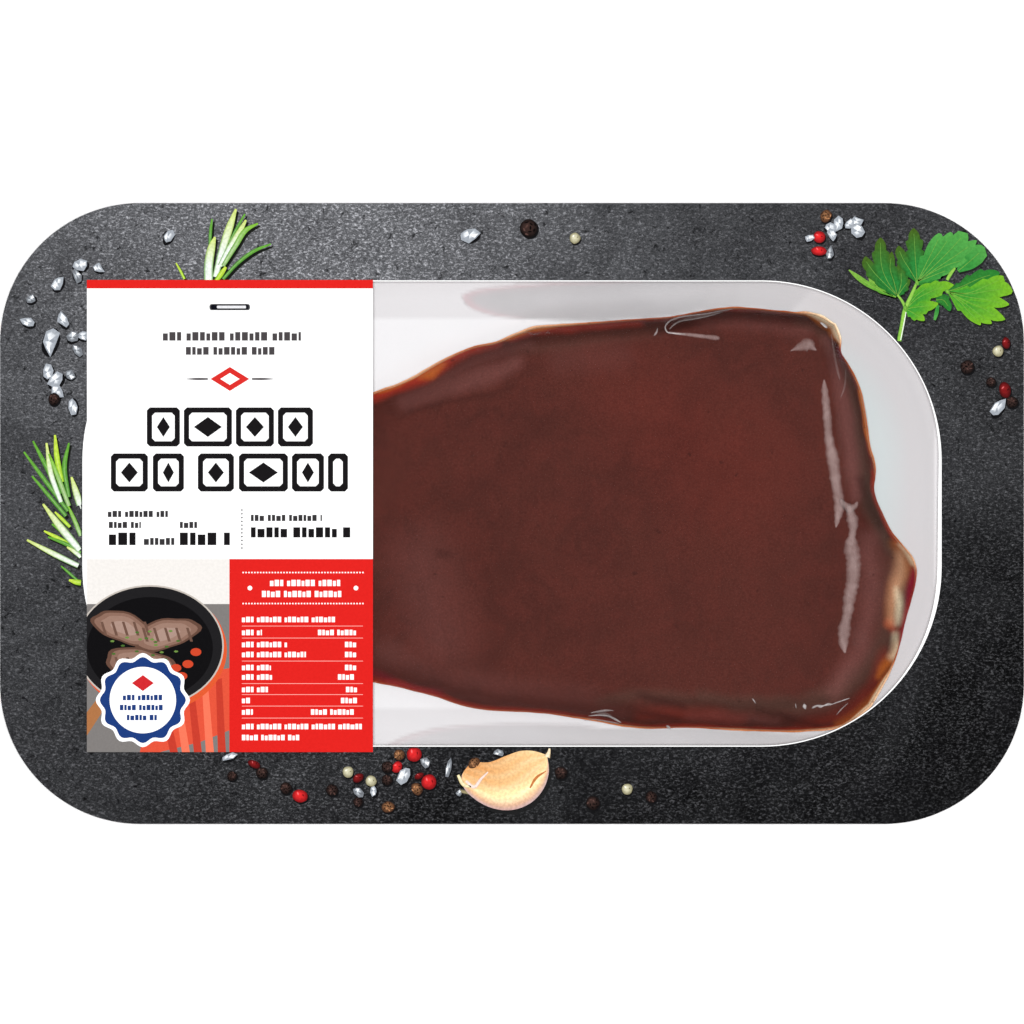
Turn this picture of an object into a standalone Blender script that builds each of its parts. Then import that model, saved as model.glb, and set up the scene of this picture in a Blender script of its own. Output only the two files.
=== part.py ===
"""A slab of raw beef heart in its sealed retail tray pack. Metres, +Z up.

The pack lies flat, as it was photographed from above: +X runs along the pack towards the heart's
broad end, +Y towards the edge with the staple, and the origin is under the middle of the tray.
From the table up it is the white tray, the heart, the clear film drawn down over both, the dark
printed card round the window, and the paper label with its staple across the narrow end.
"""

import math

import bmesh
import bpy
import numpy as np
from mathutils import Vector, noise

# Driving sizes of the pack, seen from above
PACK_LENGTH = 0.2650
PACK_WIDTH = 0.1607
PACK_CORNER = 0.0362
WINDOW_LENGTH = 0.2223
WINDOW_WIDTH = 0.1206
WINDOW_CORNER = 0.0466

# Heights and thicknesses
TRAY_WALL = 0.0009
TRAY_HEIGHT = 0.0270
CARD_THICKNESS = 0.0005
LABEL_THICKNESS = 0.0004
FILM_THICKNESS = 0.0004
CONTACT_GAP = 0.0003
MERGE_DISTANCE = 0.000001

# The tray's hollow: its mouth reaches under the card, its wall drafts in and rounds into the floor
MOUTH_UNDER_CARD = 0.0080
MOUTH_LENGTH = WINDOW_LENGTH + 2 * MOUTH_UNDER_CARD
MOUTH_WIDTH = WINDOW_WIDTH + 2 * MOUTH_UNDER_CARD
MOUTH_CORNER = WINDOW_CORNER + MOUTH_UNDER_CARD
MOUTH_EDGE_DRAFT = 0.0002
WALL_DRAFT = 0.0040
FLOOR_RADIUS = 0.0085
LIP_DROP = 0.0026
LIP_FLARE = 0.0004
CORNER_STEPS = 10
CARD_CORNER_STEPS = 16
ROUND_STEPS = 5

# The card lies on the flange, and the label on the card
CARD_BOTTOM = TRAY_HEIGHT + CONTACT_GAP
LABEL_BOTTOM = CARD_BOTTOM + CARD_THICKNESS + CONTACT_GAP
STAPLE_FOOT = LABEL_BOTTOM + LABEL_THICKNESS + CONTACT_GAP

# The label covers the narrow end of the window and bears on the card at its corners
LABEL_LEFT = -0.1100
LABEL_RIGHT = -0.0360
LABEL_BACK = 0.0604
LABEL_FRONT = -0.0617
STAPLE_PLACE = (-0.0732, 0.0536)
STAPLE_CROWN = 0.0109
STAPLE_WIRE = 0.0006
STAPLE_RISE = 0.0009
STAPLE_BEND = 0.0007
STAPLE_BEND_STEPS = 4

# The heart's edge in millimetres, from above, in the order left to right and back to front:
# x, y, and how far in from the edge its top is level
BACK_EDGE = (
    (-73.0, 6.9, 12.0),
    (-61.3, 14.9, 12.0),
    (-48.4, 23.2, 12.0),
    (-35.5, 31.2, 11.0),
    (-25.1, 35.3, 10.0),
    (-14.8, 41.0, 8.5),
    (0.8, 46.2, 6.5),
    (21.5, 49.3, 5.5),
    (42.2, 50.9, 5.0),
    (52.5, 52.7, 5.0),
    (58.0, 53.2, 5.0),
    (68.1, 52.4, 5.0),
    (78.4, 51.4, 5.0),
    (83.4, 48.8, 5.5),
)
RIGHT_EDGE = (
    (83.4, 48.8, 5.5),
    (85.0, 42.0, 6.0),
    (89.5, 33.4, 8.0),
    (91.6, 23.5, 9.0),
    (93.8, 12.4, 10.0),
    (93.6, 6.9, 10.0),
    (94.7, 2.0, 10.5),
    (98.5, -5.3, 12.0),
    (102.0, -9.6, 14.0),
    (104.4, -14.9, 16.0),
    (103.3, -22.3, 16.0),
    (101.6, -28.3, 15.5),
    (99.0, -37.7, 14.0),
    (95.8, -44.1, 12.0),
    (92.6, -49.6, 11.0),
)
FRONT_EDGE = (
    (-71.7, -28.1, 12.0),
    (-60.0, -34.8, 11.0),
    (-47.1, -40.0, 9.5),
    (-35.5, -43.6, 9.0),
    (-25.1, -45.9, 8.5),
    (-14.8, -49.0, 8.5),
    (-4.4, -50.9, 8.5),
    (11.1, -51.9, 8.5),
    (21.5, -53.4, 8.5),
    (31.8, -55.2, 8.5),
    (47.4, -55.3, 9.0),
    (62.9, -56.0, 9.0),
    (75.8, -56.1, 9.5),
    (85.9, -54.6, 10.0),
    (92.6, -49.6, 11.0),
)
LEFT_EDGE = (
    (-73.0, 6.9, 12.0),
    (-81.8, -1.7, 12.0),
    (-84.4, -11.0, 12.0),
    (-80.8, -19.8, 12.0),
    (-71.7, -28.1, 12.0),
)
MILLIMETRE = 0.001
# The edge lies below the card, so from the camera it looks this much smaller than it is
EDGE_SPREAD = 1.0095

# The slab thins from THICKENS_TO towards THICKENS_FROM, and its widest level is low on its side
HEART_BROAD_HEIGHT = 0.0180
HEART_POINT_HEIGHT = 0.0125
THICKENS_FROM = -0.080
THICKENS_TO = 0.030
EQUATOR_SHARE = 0.42
UNDERSIDE_ROUND = 0.0060
UNDERSIDE_CLEARANCE = 0.00045
HEART_COLUMNS = 34
HEART_ROWS = 24
CROWDING = 0.55
HEART_SMOOTH_ANGLE = 60
LUMP_HEIGHT = 0.0009
LUMP_LENGTH = 0.026
LUMP_SEED = 0.3

# The film is solved as a stretched sheet on a fine grid, and then drawn on a coarser one
FILM_COLUMNS = 48
FILM_ROWS = 30
FILM_RING_STEPS = 12
FILM_EDGE_INSET = 0.0006
FILM_HELD_WIDTH = 0.0010
FILM_GRID = 0.0015
FILM_PULL = 0.00006
FILM_PASSES = 900
FILM_CLEARANCE = 0.0007
FILM_OFF_WALL = 0.0011
FILM_OVER_SHOULDER = 0.0030
SHEET_BELOW_RIM = 0.0007

COLOURS = {
    "tray_white": ((0.86, 0.86, 0.86, 1.0), 0.35, 0.0),
    "heart_meat": ((0.10, 0.030, 0.024, 1.0), 0.30, 0.0),
    "clear_film": ((0.90, 0.90, 0.92, 0.25), 0.10, 0.0),
    "slate_card": ((0.060, 0.062, 0.066, 1.0), 0.50, 0.0),
    "label_paper": ((0.92, 0.92, 0.92, 1.0), 0.45, 0.0),
    "staple_steel": ((0.62, 0.63, 0.65, 1.0), 0.25, 1.0),
}


def clear_scene():
    """Removes every object that the scene starts with."""
    for item in list(bpy.data.objects):
        bpy.data.objects.remove(item)


def material(name):
    """A Principled material with this sub-part's colour, roughness and metallic value."""
    colour, roughness, metallic = COLOURS[name]
    made = bpy.data.materials.new(name)
    made.use_nodes = True
    shader = made.node_tree.nodes["Principled BSDF"]
    shader.inputs["Base Color"].default_value = colour
    shader.inputs["Roughness"].default_value = roughness
    shader.inputs["Metallic"].default_value = metallic
    shader.inputs["Alpha"].default_value = colour[3]
    made.diffuse_color = colour
    return made


def add_object(name, data, parts, finish, smooth_angle=None):
    """Puts a mesh or curve in the pack's collection, with its material."""
    data.materials.append(material(finish))
    made = bpy.data.objects.new(name, data)
    parts.objects.link(made)
    if smooth_angle is not None:
        data.shade_smooth()
        data.set_sharp_from_angle(angle=smooth_angle)
    return made


def rounded_rectangle(length, width, corner, steps=CORNER_STEPS):
    """The points of a rounded rectangle, anticlockwise, with each corner a quarter circle."""
    points = []
    for quarter, (side_x, side_y) in enumerate(((1, 1), (-1, 1), (-1, -1), (1, -1))):
        centre_x = side_x * (length / 2 - corner)
        centre_y = side_y * (width / 2 - corner)
        for step in range(steps + 1):
            angle = math.pi / 2 * (quarter + step / steps)
            points.append((centre_x + corner * math.cos(angle), centre_y + corner * math.sin(angle)))
    return points


def mouth_ring(inset):
    """The mouth of the tray's hollow, drawn in by this much all round."""
    return rounded_rectangle(MOUTH_LENGTH - 2 * inset, MOUTH_WIDTH - 2 * inset, MOUTH_CORNER - inset)


def depth_inside_mouth(x, y):
    """How far a place lies inside the mouth's outline."""
    over_x = np.abs(x) - (MOUTH_LENGTH / 2 - MOUTH_CORNER)
    over_y = np.abs(y) - (MOUTH_WIDTH / 2 - MOUTH_CORNER)
    outside = np.hypot(np.maximum(over_x, 0), np.maximum(over_y, 0))
    return MOUTH_CORNER - outside - np.minimum(np.maximum(over_x, over_y), 0)


def tray_height(x, y, off_wall=0.0):
    """The height of the tray's upper surface, or of that surface with its wall moved in by off_wall."""
    inset = depth_inside_mouth(x, y) - off_wall
    foot = FLOOR_RADIUS - np.clip(inset - WALL_DRAFT, 0, FLOOR_RADIUS)
    rounded = TRAY_WALL + FLOOR_RADIUS - np.sqrt(FLOOR_RADIUS**2 - foot**2)
    wall_foot = TRAY_WALL + FLOOR_RADIUS
    drafted = TRAY_HEIGHT - (TRAY_HEIGHT - wall_foot) * np.clip(inset, 0, WALL_DRAFT) / WALL_DRAFT
    return np.where(inset < WALL_DRAFT, drafted, rounded)


def build_tray(parts):
    """The white tray: an open shell of rounded sections, given its wall by Solidify."""
    lip = rounded_rectangle(
        PACK_LENGTH + 2 * LIP_FLARE - 2 * TRAY_WALL,
        PACK_WIDTH + 2 * LIP_FLARE - 2 * TRAY_WALL,
        PACK_CORNER + LIP_FLARE - TRAY_WALL,
    )
    edge_round = TRAY_WALL
    rim = rounded_rectangle(
        PACK_LENGTH - 2 * TRAY_WALL, PACK_WIDTH - 2 * TRAY_WALL, PACK_CORNER - TRAY_WALL
    )
    flat_edge = rounded_rectangle(
        PACK_LENGTH - 2 * TRAY_WALL - 2 * edge_round,
        PACK_WIDTH - 2 * TRAY_WALL - 2 * edge_round,
        PACK_CORNER - TRAY_WALL - edge_round,
    )
    sections = [
        (lip, TRAY_HEIGHT - LIP_DROP),
        (rim, TRAY_HEIGHT - edge_round),
        (flat_edge, TRAY_HEIGHT),
        (mouth_ring(-edge_round), TRAY_HEIGHT),
        (mouth_ring(MOUTH_EDGE_DRAFT), TRAY_HEIGHT - edge_round),
    ]
    for step in range(ROUND_STEPS + 1):
        turn = math.pi / 2 * step / ROUND_STEPS
        inset = WALL_DRAFT + FLOOR_RADIUS * (1 - math.cos(turn))
        height = TRAY_WALL + FLOOR_RADIUS * (1 - math.sin(turn))
        sections.append((mouth_ring(inset), height))
    mesh = bpy.data.meshes.new("tray")
    work = bmesh.new()
    rings = [[work.verts.new((x, y, height)) for x, y in outline] for outline, height in sections]
    for outer, inner in zip(rings, rings[1:]):
        for i in range(len(outer)):
            following = (i + 1) % len(outer)
            work.faces.new((outer[i], outer[following], inner[following], inner[i]))
    work.faces.new(rings[-1])
    work.to_mesh(mesh)
    work.free()
    tray = add_object("tray", mesh, parts, "tray_white", math.radians(40))
    shell = tray.modifiers.new("wall", "SOLIDIFY")
    shell.thickness = TRAY_WALL
    shell.offset = -1.0
    shell.use_even_offset = True
    return tray


def resampled(edge, share_along):
    """Points of an edge at these shares of its length, on a smooth curve through its own points."""
    points = np.array(edge, float)
    steps = np.linalg.norm(np.diff(points[:, :2], axis=0), axis=1)
    along = np.concatenate([[0.0], np.cumsum(steps)]) / steps.sum()
    slopes = np.gradient(points, along, axis=0)
    found = []
    for share in share_along:
        i = min(int(np.searchsorted(along, share, side="right")) - 1, len(along) - 2)
        i = max(i, 0)
        span = along[i + 1] - along[i]
        t = (share - along[i]) / span
        found.append(
            (2 * t**3 - 3 * t**2 + 1) * points[i]
            + (t**3 - 2 * t**2 + t) * span * slopes[i]
            + (3 * t**2 - 2 * t**3) * points[i + 1]
            + (t**3 - t**2) * span * slopes[i + 1]
        )
    return np.array(found)


def crowded_to_ends(count):
    """Shares from 0 to 1 that lie closer together near both ends."""
    even = np.linspace(0, 1, count + 1)
    crowded = (1 - np.cos(math.pi * even)) / 2
    return (1 - CROWDING) * even + CROWDING * crowded


def patch(back, front, left, right, shares_u, shares_v):
    """A grid of points that fills four meeting edges, as a Coons patch."""
    u = shares_u[:, None, None]
    v = shares_v[None, :, None]
    ruled_v = (1 - v) * back[:, None, :] + v * front[:, None, :]
    ruled_u = (1 - u) * left[None, :, :] + u * right[None, :, :]
    corners = (
        (1 - u) * (1 - v) * back[0]
        + (1 - u) * v * front[0]
        + u * (1 - v) * back[-1]
        + u * v * front[-1]
    )
    return ruled_v + ruled_u - corners


def grid_sheet(work, points):
    """A grid of faces laid through points that are indexed by column and row."""
    columns, rows = points.shape[:2]
    made = bmesh.ops.create_grid(work, x_segments=columns - 1, y_segments=rows - 1, size=1.0)
    for index, vert in enumerate(made["verts"]):
        vert.co = points[index % columns, index // columns]


def heart_plan():
    """The heart's plan as a grid of x, y and width of slope, and its outline in order."""
    shares_u = crowded_to_ends(HEART_COLUMNS)
    shares_v = crowded_to_ends(HEART_ROWS)
    back = resampled(BACK_EDGE, shares_u)
    front = resampled(FRONT_EDGE, shares_u)
    left = resampled(LEFT_EDGE, shares_v)
    right = resampled(RIGHT_EDGE, shares_v)
    size = MILLIMETRE * np.array([EDGE_SPREAD, EDGE_SPREAD, 1.0])
    grid = patch(back, front, left, right, shares_u, shares_v) * size
    outline = np.concatenate([back[:-1], right[:-1], front[:0:-1], left[:0:-1]]) * size
    return grid, outline


def distance_to_outline(points, outline):
    """How far each point lies from the closed outline, and the width of slope at its nearest place."""
    starts = outline
    ends = np.roll(outline, -1, axis=0)
    runs = (ends - starts)[:, :2]
    rel = points[:, None, :2] - starts[None, :, :2]
    t = np.clip((rel * runs).sum(2) / (runs**2).sum(1), 0, 1)
    gaps = np.linalg.norm(rel - t[:, :, None] * runs, axis=2)
    nearest = gaps.argmin(axis=1)
    rows = np.arange(len(points))
    slope = starts[nearest, 2] + t[rows, nearest] * (ends - starts)[nearest, 2]
    return gaps[rows, nearest], slope


def heart_thickness(x):
    """The slab's thickness: it thins towards the heart's point at -X."""
    share = np.clip((x - THICKENS_FROM) / (THICKENS_TO - THICKENS_FROM), 0, 1)
    swell = share * share * (3 - 2 * share)
    return HEART_POINT_HEIGHT + (HEART_BROAD_HEIGHT - HEART_POINT_HEIGHT) * swell


def round_over(share):
    """A quarter ellipse: 0 at the edge, level with the top at 1."""
    rest = 1 - np.clip(share, 0, 1)
    return np.sqrt(1 - rest**2)


def heart_heights(x, y, gap, slope):
    """Heights of the slab's upper and lower skin where it is this far in from its edge."""
    floor = TRAY_WALL + CONTACT_GAP
    thickness = heart_thickness(x)
    equator = EQUATOR_SHARE * thickness
    rise = round_over(gap / slope)
    upper = floor + equator + (thickness - equator) * rise
    lower = floor + equator * (1 - round_over(gap / UNDERSIDE_ROUND))
    lower = np.maximum(lower, tray_height(x, y) + UNDERSIDE_CLEARANCE)
    return np.maximum(upper, lower), lower


def build_heart(parts):
    """The slab of heart: one patch for its upper skin, one for its underside, sharing their edge."""
    grid, outline = heart_plan()
    flat = grid.reshape(-1, 3)
    gap, slope = distance_to_outline(flat, outline)
    gap = np.where(gap < MERGE_DISTANCE, 0.0, gap)
    upper, lower = heart_heights(flat[:, 0], flat[:, 1], gap, slope)
    swell = np.array([noise.noise(Vector((x / LUMP_LENGTH, y / LUMP_LENGTH, LUMP_SEED))) for x, y, _ in flat])
    upper = upper + LUMP_HEIGHT * swell * np.clip(gap / slope, 0, 1)
    on_edge = np.ones(grid.shape[:2], bool)
    on_edge[1:-1, 1:-1] = False
    lower = np.where(on_edge.ravel(), upper, lower)

    mesh = bpy.data.meshes.new("heart")
    work = bmesh.new()
    for heights in (upper, lower):
        grid_sheet(work, np.column_stack([flat[:, :2], heights]).reshape(*grid.shape))
    bmesh.ops.remove_doubles(work, verts=work.verts, dist=MERGE_DISTANCE)
    bmesh.ops.recalc_face_normals(work, faces=work.faces)
    work.to_mesh(mesh)
    work.free()
    return add_object("heart", mesh, parts, "heart_meat", math.radians(HEART_SMOOTH_ANGLE))


def spread_of_heart(x, y):
    """The height of the heart's upper skin at each grid place, and 0 away from the heart."""
    _, outline = heart_plan()
    places = np.stack([x.ravel(), y.ravel(), np.zeros(x.size)], axis=1)
    gap, slope = distance_to_outline(places, outline)
    ends = np.roll(outline, -1, axis=0)
    crosses = (outline[None, :, 1] > places[:, None, 1]) != (ends[None, :, 1] > places[:, None, 1])
    run = np.where(ends[:, 1] == outline[:, 1], 1.0, ends[:, 1] - outline[:, 1])
    at_x = outline[:, 0] + (places[:, None, 1] - outline[:, 1]) / run * (ends[:, 0] - outline[:, 0])
    inside = (crosses & (places[:, None, 0] < at_x)).sum(axis=1) % 2 == 1
    upper, _ = heart_heights(places[:, 0], places[:, 1], gap, slope)
    return np.where(inside, upper + LUMP_HEIGHT, 0.0).reshape(x.shape)


def widened(heights, reach):
    """Each place takes the greatest height within this many grid steps of it."""
    result = heights.copy()
    for across in range(-reach, reach + 1):
        for along in range(-reach, reach + 1):
            if across**2 + along**2 <= (reach + 0.5) ** 2:
                result = np.maximum(result, np.roll(heights, (across, along), axis=(0, 1)))
    return result


def solve_film():
    """The film as a stretched sheet: held at the tray's mouth, drawn down onto the heart and the tray."""
    xs = np.arange(-MOUTH_LENGTH / 2 - 2 * FILM_GRID, MOUTH_LENGTH / 2 + 3 * FILM_GRID, FILM_GRID)
    ys = np.arange(-MOUTH_WIDTH / 2 - 2 * FILM_GRID, MOUTH_WIDTH / 2 + 3 * FILM_GRID, FILM_GRID)
    x, y = np.meshgrid(xs, ys, indexing="ij")
    held_height = TRAY_HEIGHT - SHEET_BELOW_RIM
    heart = widened(spread_of_heart(x, y), round(FILM_OVER_SHOULDER / FILM_GRID))
    under = np.maximum(tray_height(x, y, FILM_OFF_WALL), heart) + FILM_CLEARANCE
    held = depth_inside_mouth(x, y) <= FILM_HELD_WIDTH
    film = np.full(x.shape, held_height)
    for _ in range(FILM_PASSES):
        around = (
            np.roll(film, 1, 0) + np.roll(film, -1, 0) + np.roll(film, 1, 1) + np.roll(film, -1, 1)
        ) / 4
        film = np.where(held, held_height, np.maximum(around - FILM_PULL, under))
        film = np.minimum(film, held_height)
    return xs, ys, film


def height_at(xs, ys, heights, x, y):
    """Bilinear reading of a height grid."""
    along = np.clip((x - xs[0]) / (xs[1] - xs[0]), 0, len(xs) - 1.001)
    across = np.clip((y - ys[0]) / (ys[1] - ys[0]), 0, len(ys) - 1.001)
    i, j = along.astype(int), across.astype(int)
    s, t = along - i, across - j
    return (
        (1 - s) * (1 - t) * heights[i, j]
        + s * (1 - t) * heights[i + 1, j]
        + (1 - s) * t * heights[i, j + 1]
        + s * t * heights[i + 1, j + 1]
    )


def along(points, shares):
    """Points at these shares of an open line's length."""
    line = np.array(points)
    run = np.concatenate([[0.0], np.cumsum(np.linalg.norm(np.diff(line, axis=0), axis=1))])
    return np.column_stack([np.interp(shares * run[-1], run, line[:, axis]) for axis in range(2)])


def film_plan():
    """The film's plan: a grid inside the tray's mouth, cornered at the middle of each round corner."""
    ring = rounded_rectangle(
        MOUTH_LENGTH - 2 * FILM_EDGE_INSET,
        MOUTH_WIDTH - 2 * FILM_EDGE_INSET,
        MOUTH_CORNER - FILM_EDGE_INSET,
        steps=2 * FILM_RING_STEPS,
    )
    quarter = len(ring) // 4
    ring = ring[FILM_RING_STEPS:] + ring[: FILM_RING_STEPS + 1]
    back, left, front, right = [ring[quarter * k : quarter * (k + 1) + 1] for k in range(4)]
    shares_u = np.linspace(0, 1, FILM_COLUMNS + 1)
    shares_v = np.linspace(0, 1, FILM_ROWS + 1)
    return patch(
        along(back[::-1], shares_u),
        along(front, shares_u),
        along(left, shares_v),
        along(right[::-1], shares_v),
        shares_u,
        shares_v,
    )


def build_film(parts):
    """The clear film: a sheet with its thickness from Solidify."""
    grid = film_plan()
    xs, ys, film = solve_film()
    heights = height_at(xs, ys, film, grid[:, :, 0], grid[:, :, 1])
    mesh = bpy.data.meshes.new("film")
    work = bmesh.new()
    grid_sheet(work, np.concatenate([grid, heights[:, :, None]], axis=2))
    bmesh.ops.recalc_face_normals(work, faces=work.faces)
    work.to_mesh(mesh)
    work.free()
    sheet = add_object("film", mesh, parts, "clear_film", math.radians(HEART_SMOOTH_ANGLE))
    skin = sheet.modifiers.new("thickness", "SOLIDIFY")
    skin.thickness = FILM_THICKNESS
    skin.offset = 0.0
    return sheet


def flat_outline(name, outlines, thickness, height, parts, finish):
    """A flat sheet cut to closed outlines, the second and later ones as holes, lying at this height."""
    curve = bpy.data.curves.new(name, "CURVE")
    curve.dimensions = "2D"
    curve.fill_mode = "BOTH"
    curve.extrude = thickness / 2
    for outline in outlines:
        spline = curve.splines.new("POLY")
        spline.points.add(len(outline) - 1)
        for point, (x, y) in zip(spline.points, outline):
            point.co = (x, y, 0.0, 1.0)
        spline.use_cyclic_u = True
    made = add_object(name, curve, parts, finish)
    made.location = (0.0, 0.0, height + thickness / 2)
    return made


def build_card(parts):
    """The printed card round the window, lying on the tray's flange."""
    outer = rounded_rectangle(PACK_LENGTH, PACK_WIDTH, PACK_CORNER, steps=CARD_CORNER_STEPS)
    window = rounded_rectangle(WINDOW_LENGTH, WINDOW_WIDTH, WINDOW_CORNER, steps=CARD_CORNER_STEPS)
    return flat_outline("card_surround", (outer, window), CARD_THICKNESS, CARD_BOTTOM, parts, "slate_card")


def build_label(parts):
    """The paper label across the narrow end of the window."""
    outline = (
        (LABEL_LEFT, LABEL_FRONT),
        (LABEL_RIGHT, LABEL_FRONT),
        (LABEL_RIGHT, LABEL_BACK),
        (LABEL_LEFT, LABEL_BACK),
    )
    return flat_outline("label", (outline,), LABEL_THICKNESS, LABEL_BOTTOM, parts, "label_paper")


def build_staple(parts):
    """The staple's wire crown on the label, with its two ends turned down to the paper."""
    centre_x, centre_y = STAPLE_PLACE
    crown = STAPLE_FOOT + STAPLE_RISE
    half = STAPLE_CROWN / 2 - STAPLE_WIRE
    route = [(-half, STAPLE_FOOT)]
    for step in range(STAPLE_BEND_STEPS + 1):
        turn = math.pi / 2 * step / STAPLE_BEND_STEPS
        inward = STAPLE_BEND * (1 - math.cos(turn))
        below_crown = STAPLE_BEND * (1 - math.sin(turn))
        route.append((inward - half, crown - below_crown))
    route += [(-place, height) for place, height in reversed(route)]
    curve = bpy.data.curves.new("staple", "CURVE")
    curve.dimensions = "3D"
    curve.bevel_depth = STAPLE_WIRE
    curve.bevel_resolution = 2
    curve.use_fill_caps = True
    spline = curve.splines.new("POLY")
    spline.points.add(len(route) - 1)
    for point, (place, height) in zip(spline.points, route):
        point.co = (centre_x + place, centre_y, height, 1.0)
    return add_object("staple", curve, parts, "staple_steel")


def main():
    clear_scene()
    parts = bpy.data.collections.new("beef_heart_pack")
    bpy.context.scene.collection.children.link(parts)
    build_tray(parts)
    build_heart(parts)
    build_film(parts)
    build_card(parts)
    build_label(parts)
    build_staple(parts)


main()
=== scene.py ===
"""Beef heart in its sealed tray pack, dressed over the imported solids.

The pack lies flat with its window up. Metres, +Z up, +X towards the heart's broad end and +Y
towards the edge with the staple. Places on the pack are given in millimetres from its middle.
"""

import logging
import math
from dataclasses import dataclass
from enum import Enum
from typing import Callable, Iterable, Sequence

import bmesh
import bpy
import numpy as np
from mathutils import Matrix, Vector, noise


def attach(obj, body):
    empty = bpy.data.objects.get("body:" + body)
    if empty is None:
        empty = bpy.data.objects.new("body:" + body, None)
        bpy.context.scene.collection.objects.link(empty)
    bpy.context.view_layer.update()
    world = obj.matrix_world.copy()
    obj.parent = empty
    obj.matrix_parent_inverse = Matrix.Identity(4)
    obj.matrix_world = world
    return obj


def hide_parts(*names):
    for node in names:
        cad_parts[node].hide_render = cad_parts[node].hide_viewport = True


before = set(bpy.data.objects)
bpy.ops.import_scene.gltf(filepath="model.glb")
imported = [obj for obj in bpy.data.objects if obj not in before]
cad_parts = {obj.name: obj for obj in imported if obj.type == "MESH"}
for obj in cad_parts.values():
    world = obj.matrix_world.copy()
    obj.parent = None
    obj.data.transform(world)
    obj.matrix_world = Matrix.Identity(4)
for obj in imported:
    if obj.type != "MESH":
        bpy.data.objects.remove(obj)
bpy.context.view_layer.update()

LOG = logging.getLogger("beef_heart_pack")
MM = 0.001
BODY = "root"

Point = tuple[float, float]
Place = tuple[float, float, float]
Colour = tuple[float, float, float, float]
Field = np.ndarray
Material = bpy.types.Material
Piece = bpy.types.Object
Socket = bpy.types.NodeSocket
Node = bpy.types.Node
Tree = bpy.types.NodeTree


def srgb(red: float, green: float, blue: float) -> Colour:
    """A linear colour from display values.

    Args:
        red: Display red, 0 to 255.
        green: Display green, 0 to 255.
        blue: Display blue, 0 to 255.

    Returns:
        The linear colour, opaque.
    """
    linear = []
    for value in (red, green, blue):
        share = value / 255
        linear.append(share / 12.92 if share <= 0.04045 else ((share + 0.055) / 1.055) ** 2.4)
    return (linear[0], linear[1], linear[2], 1.0)


# Plans and heights


@dataclass(frozen=True)
class RoundedPlan:
    """A rounded rectangle centred on the pack's middle, in metres."""

    length: float
    width: float
    corner: float

    def inset(self, by: float) -> "RoundedPlan":
        """The same plan drawn in by this much all round."""
        return RoundedPlan(self.length - 2 * by, self.width - 2 * by, self.corner - by)

    def ring(self, steps: int) -> list[Point]:
        """Its outline, anticlockwise from the right.

        Args:
            steps: Segments in each quarter circle.

        Returns:
            The points of the outline.
        """
        points = []
        for quarter, (side_x, side_y) in enumerate(((1, 1), (-1, 1), (-1, -1), (1, -1))):
            centre_x = side_x * (self.length / 2 - self.corner)
            centre_y = side_y * (self.width / 2 - self.corner)
            for step in range(steps + 1):
                angle = math.pi / 2 * (quarter + step / steps)
                out, up = self.corner * math.cos(angle), self.corner * math.sin(angle)
                points.append((centre_x + out, centre_y + up))
        return points

    def depth(self, x: Field, y: Field) -> Field:
        """How far places lie inside the outline, negative outside it.

        Args:
            x: Places along the pack.
            y: Places across the pack.

        Returns:
            The depths in metres.
        """
        over_x = np.abs(x) - (self.length / 2 - self.corner)
        over_y = np.abs(y) - (self.width / 2 - self.corner)
        outside = np.hypot(np.maximum(over_x, 0), np.maximum(over_y, 0))
        return self.corner - outside - np.minimum(np.maximum(over_x, over_y), 0)


PACK = RoundedPlan(0.2650, 0.1607, 0.0362)
WINDOW = RoundedPlan(0.2223, 0.1206, 0.0466)
MOUTH = WINDOW.inset(-0.0080)
CARD_TOP = 0.0278
SHEET_UNIT = 0.2588
LENS = 300.0
SENSOR = 36.0
VIEW_DISTANCE = PACK.length * LENS / SENSOR


def length_shares(line: Field) -> Field:
    """The share of an open line's length at each of its points."""
    steps = np.linalg.norm(np.diff(line[:, :2], axis=0), axis=1)
    return np.concatenate([[0.0], np.cumsum(steps)]) / steps.sum()


def along(line: Field, shares: Field) -> Field:
    """Points at these shares of an open line's length."""
    return np.column_stack([np.interp(shares, length_shares(line), column) for column in line.T])


def sideways(directions: Field) -> Field:
    """The unit vector to the left of each direction."""
    unit = directions / np.linalg.norm(directions, axis=1)[:, None]
    return np.column_stack([-unit[:, 1], unit[:, 0]])


def smooth_along(points: Sequence[Sequence[float]], shares: Field) -> Field:
    """Points at these shares of a smooth curve through the given points.

    Args:
        points: The curve's own points, in order.
        shares: Shares of the length, 0 to 1.

    Returns:
        One row for each share, with every column of the points.
    """
    line = np.array(points, float)
    run = length_shares(line)
    slopes = np.gradient(line, run, axis=0)
    rows = []
    for share in shares:
        i = int(np.clip(np.searchsorted(run, share, side="right") - 1, 0, len(run) - 2))
        span = run[i + 1] - run[i]
        t = (share - run[i]) / span
        rows.append(
            (2 * t**3 - 3 * t**2 + 1) * line[i]
            + (t**3 - 2 * t**2 + t) * span * slopes[i]
            + (3 * t**2 - 2 * t**3) * line[i + 1]
            + (t**3 - t**2) * span * slopes[i + 1]
        )
    return np.array(rows)


def patch(back: Field, front: Field, left: Field, right: Field, u: Field, v: Field) -> Field:
    """A grid of points that fills four meeting edges.

    Args:
        back: The edge at v 0, left to right.
        front: The edge at v 1, left to right.
        left: The edge at u 0, back to front.
        right: The edge at u 1, back to front.
        u: Shares along the back and front edges.
        v: Shares along the left and right edges.

    Returns:
        The grid, indexed by u, v and column.
    """
    su = u[:, None, None]
    sv = v[None, :, None]
    ruled_v = (1 - sv) * back[:, None, :] + sv * front[:, None, :]
    ruled_u = (1 - su) * left[None, :, :] + su * right[None, :, :]
    corners = (
        (1 - su) * (1 - sv) * back[0]
        + (1 - su) * sv * front[0]
        + su * (1 - sv) * back[-1]
        + su * sv * front[-1]
    )
    return ruled_v + ruled_u - corners


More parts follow.
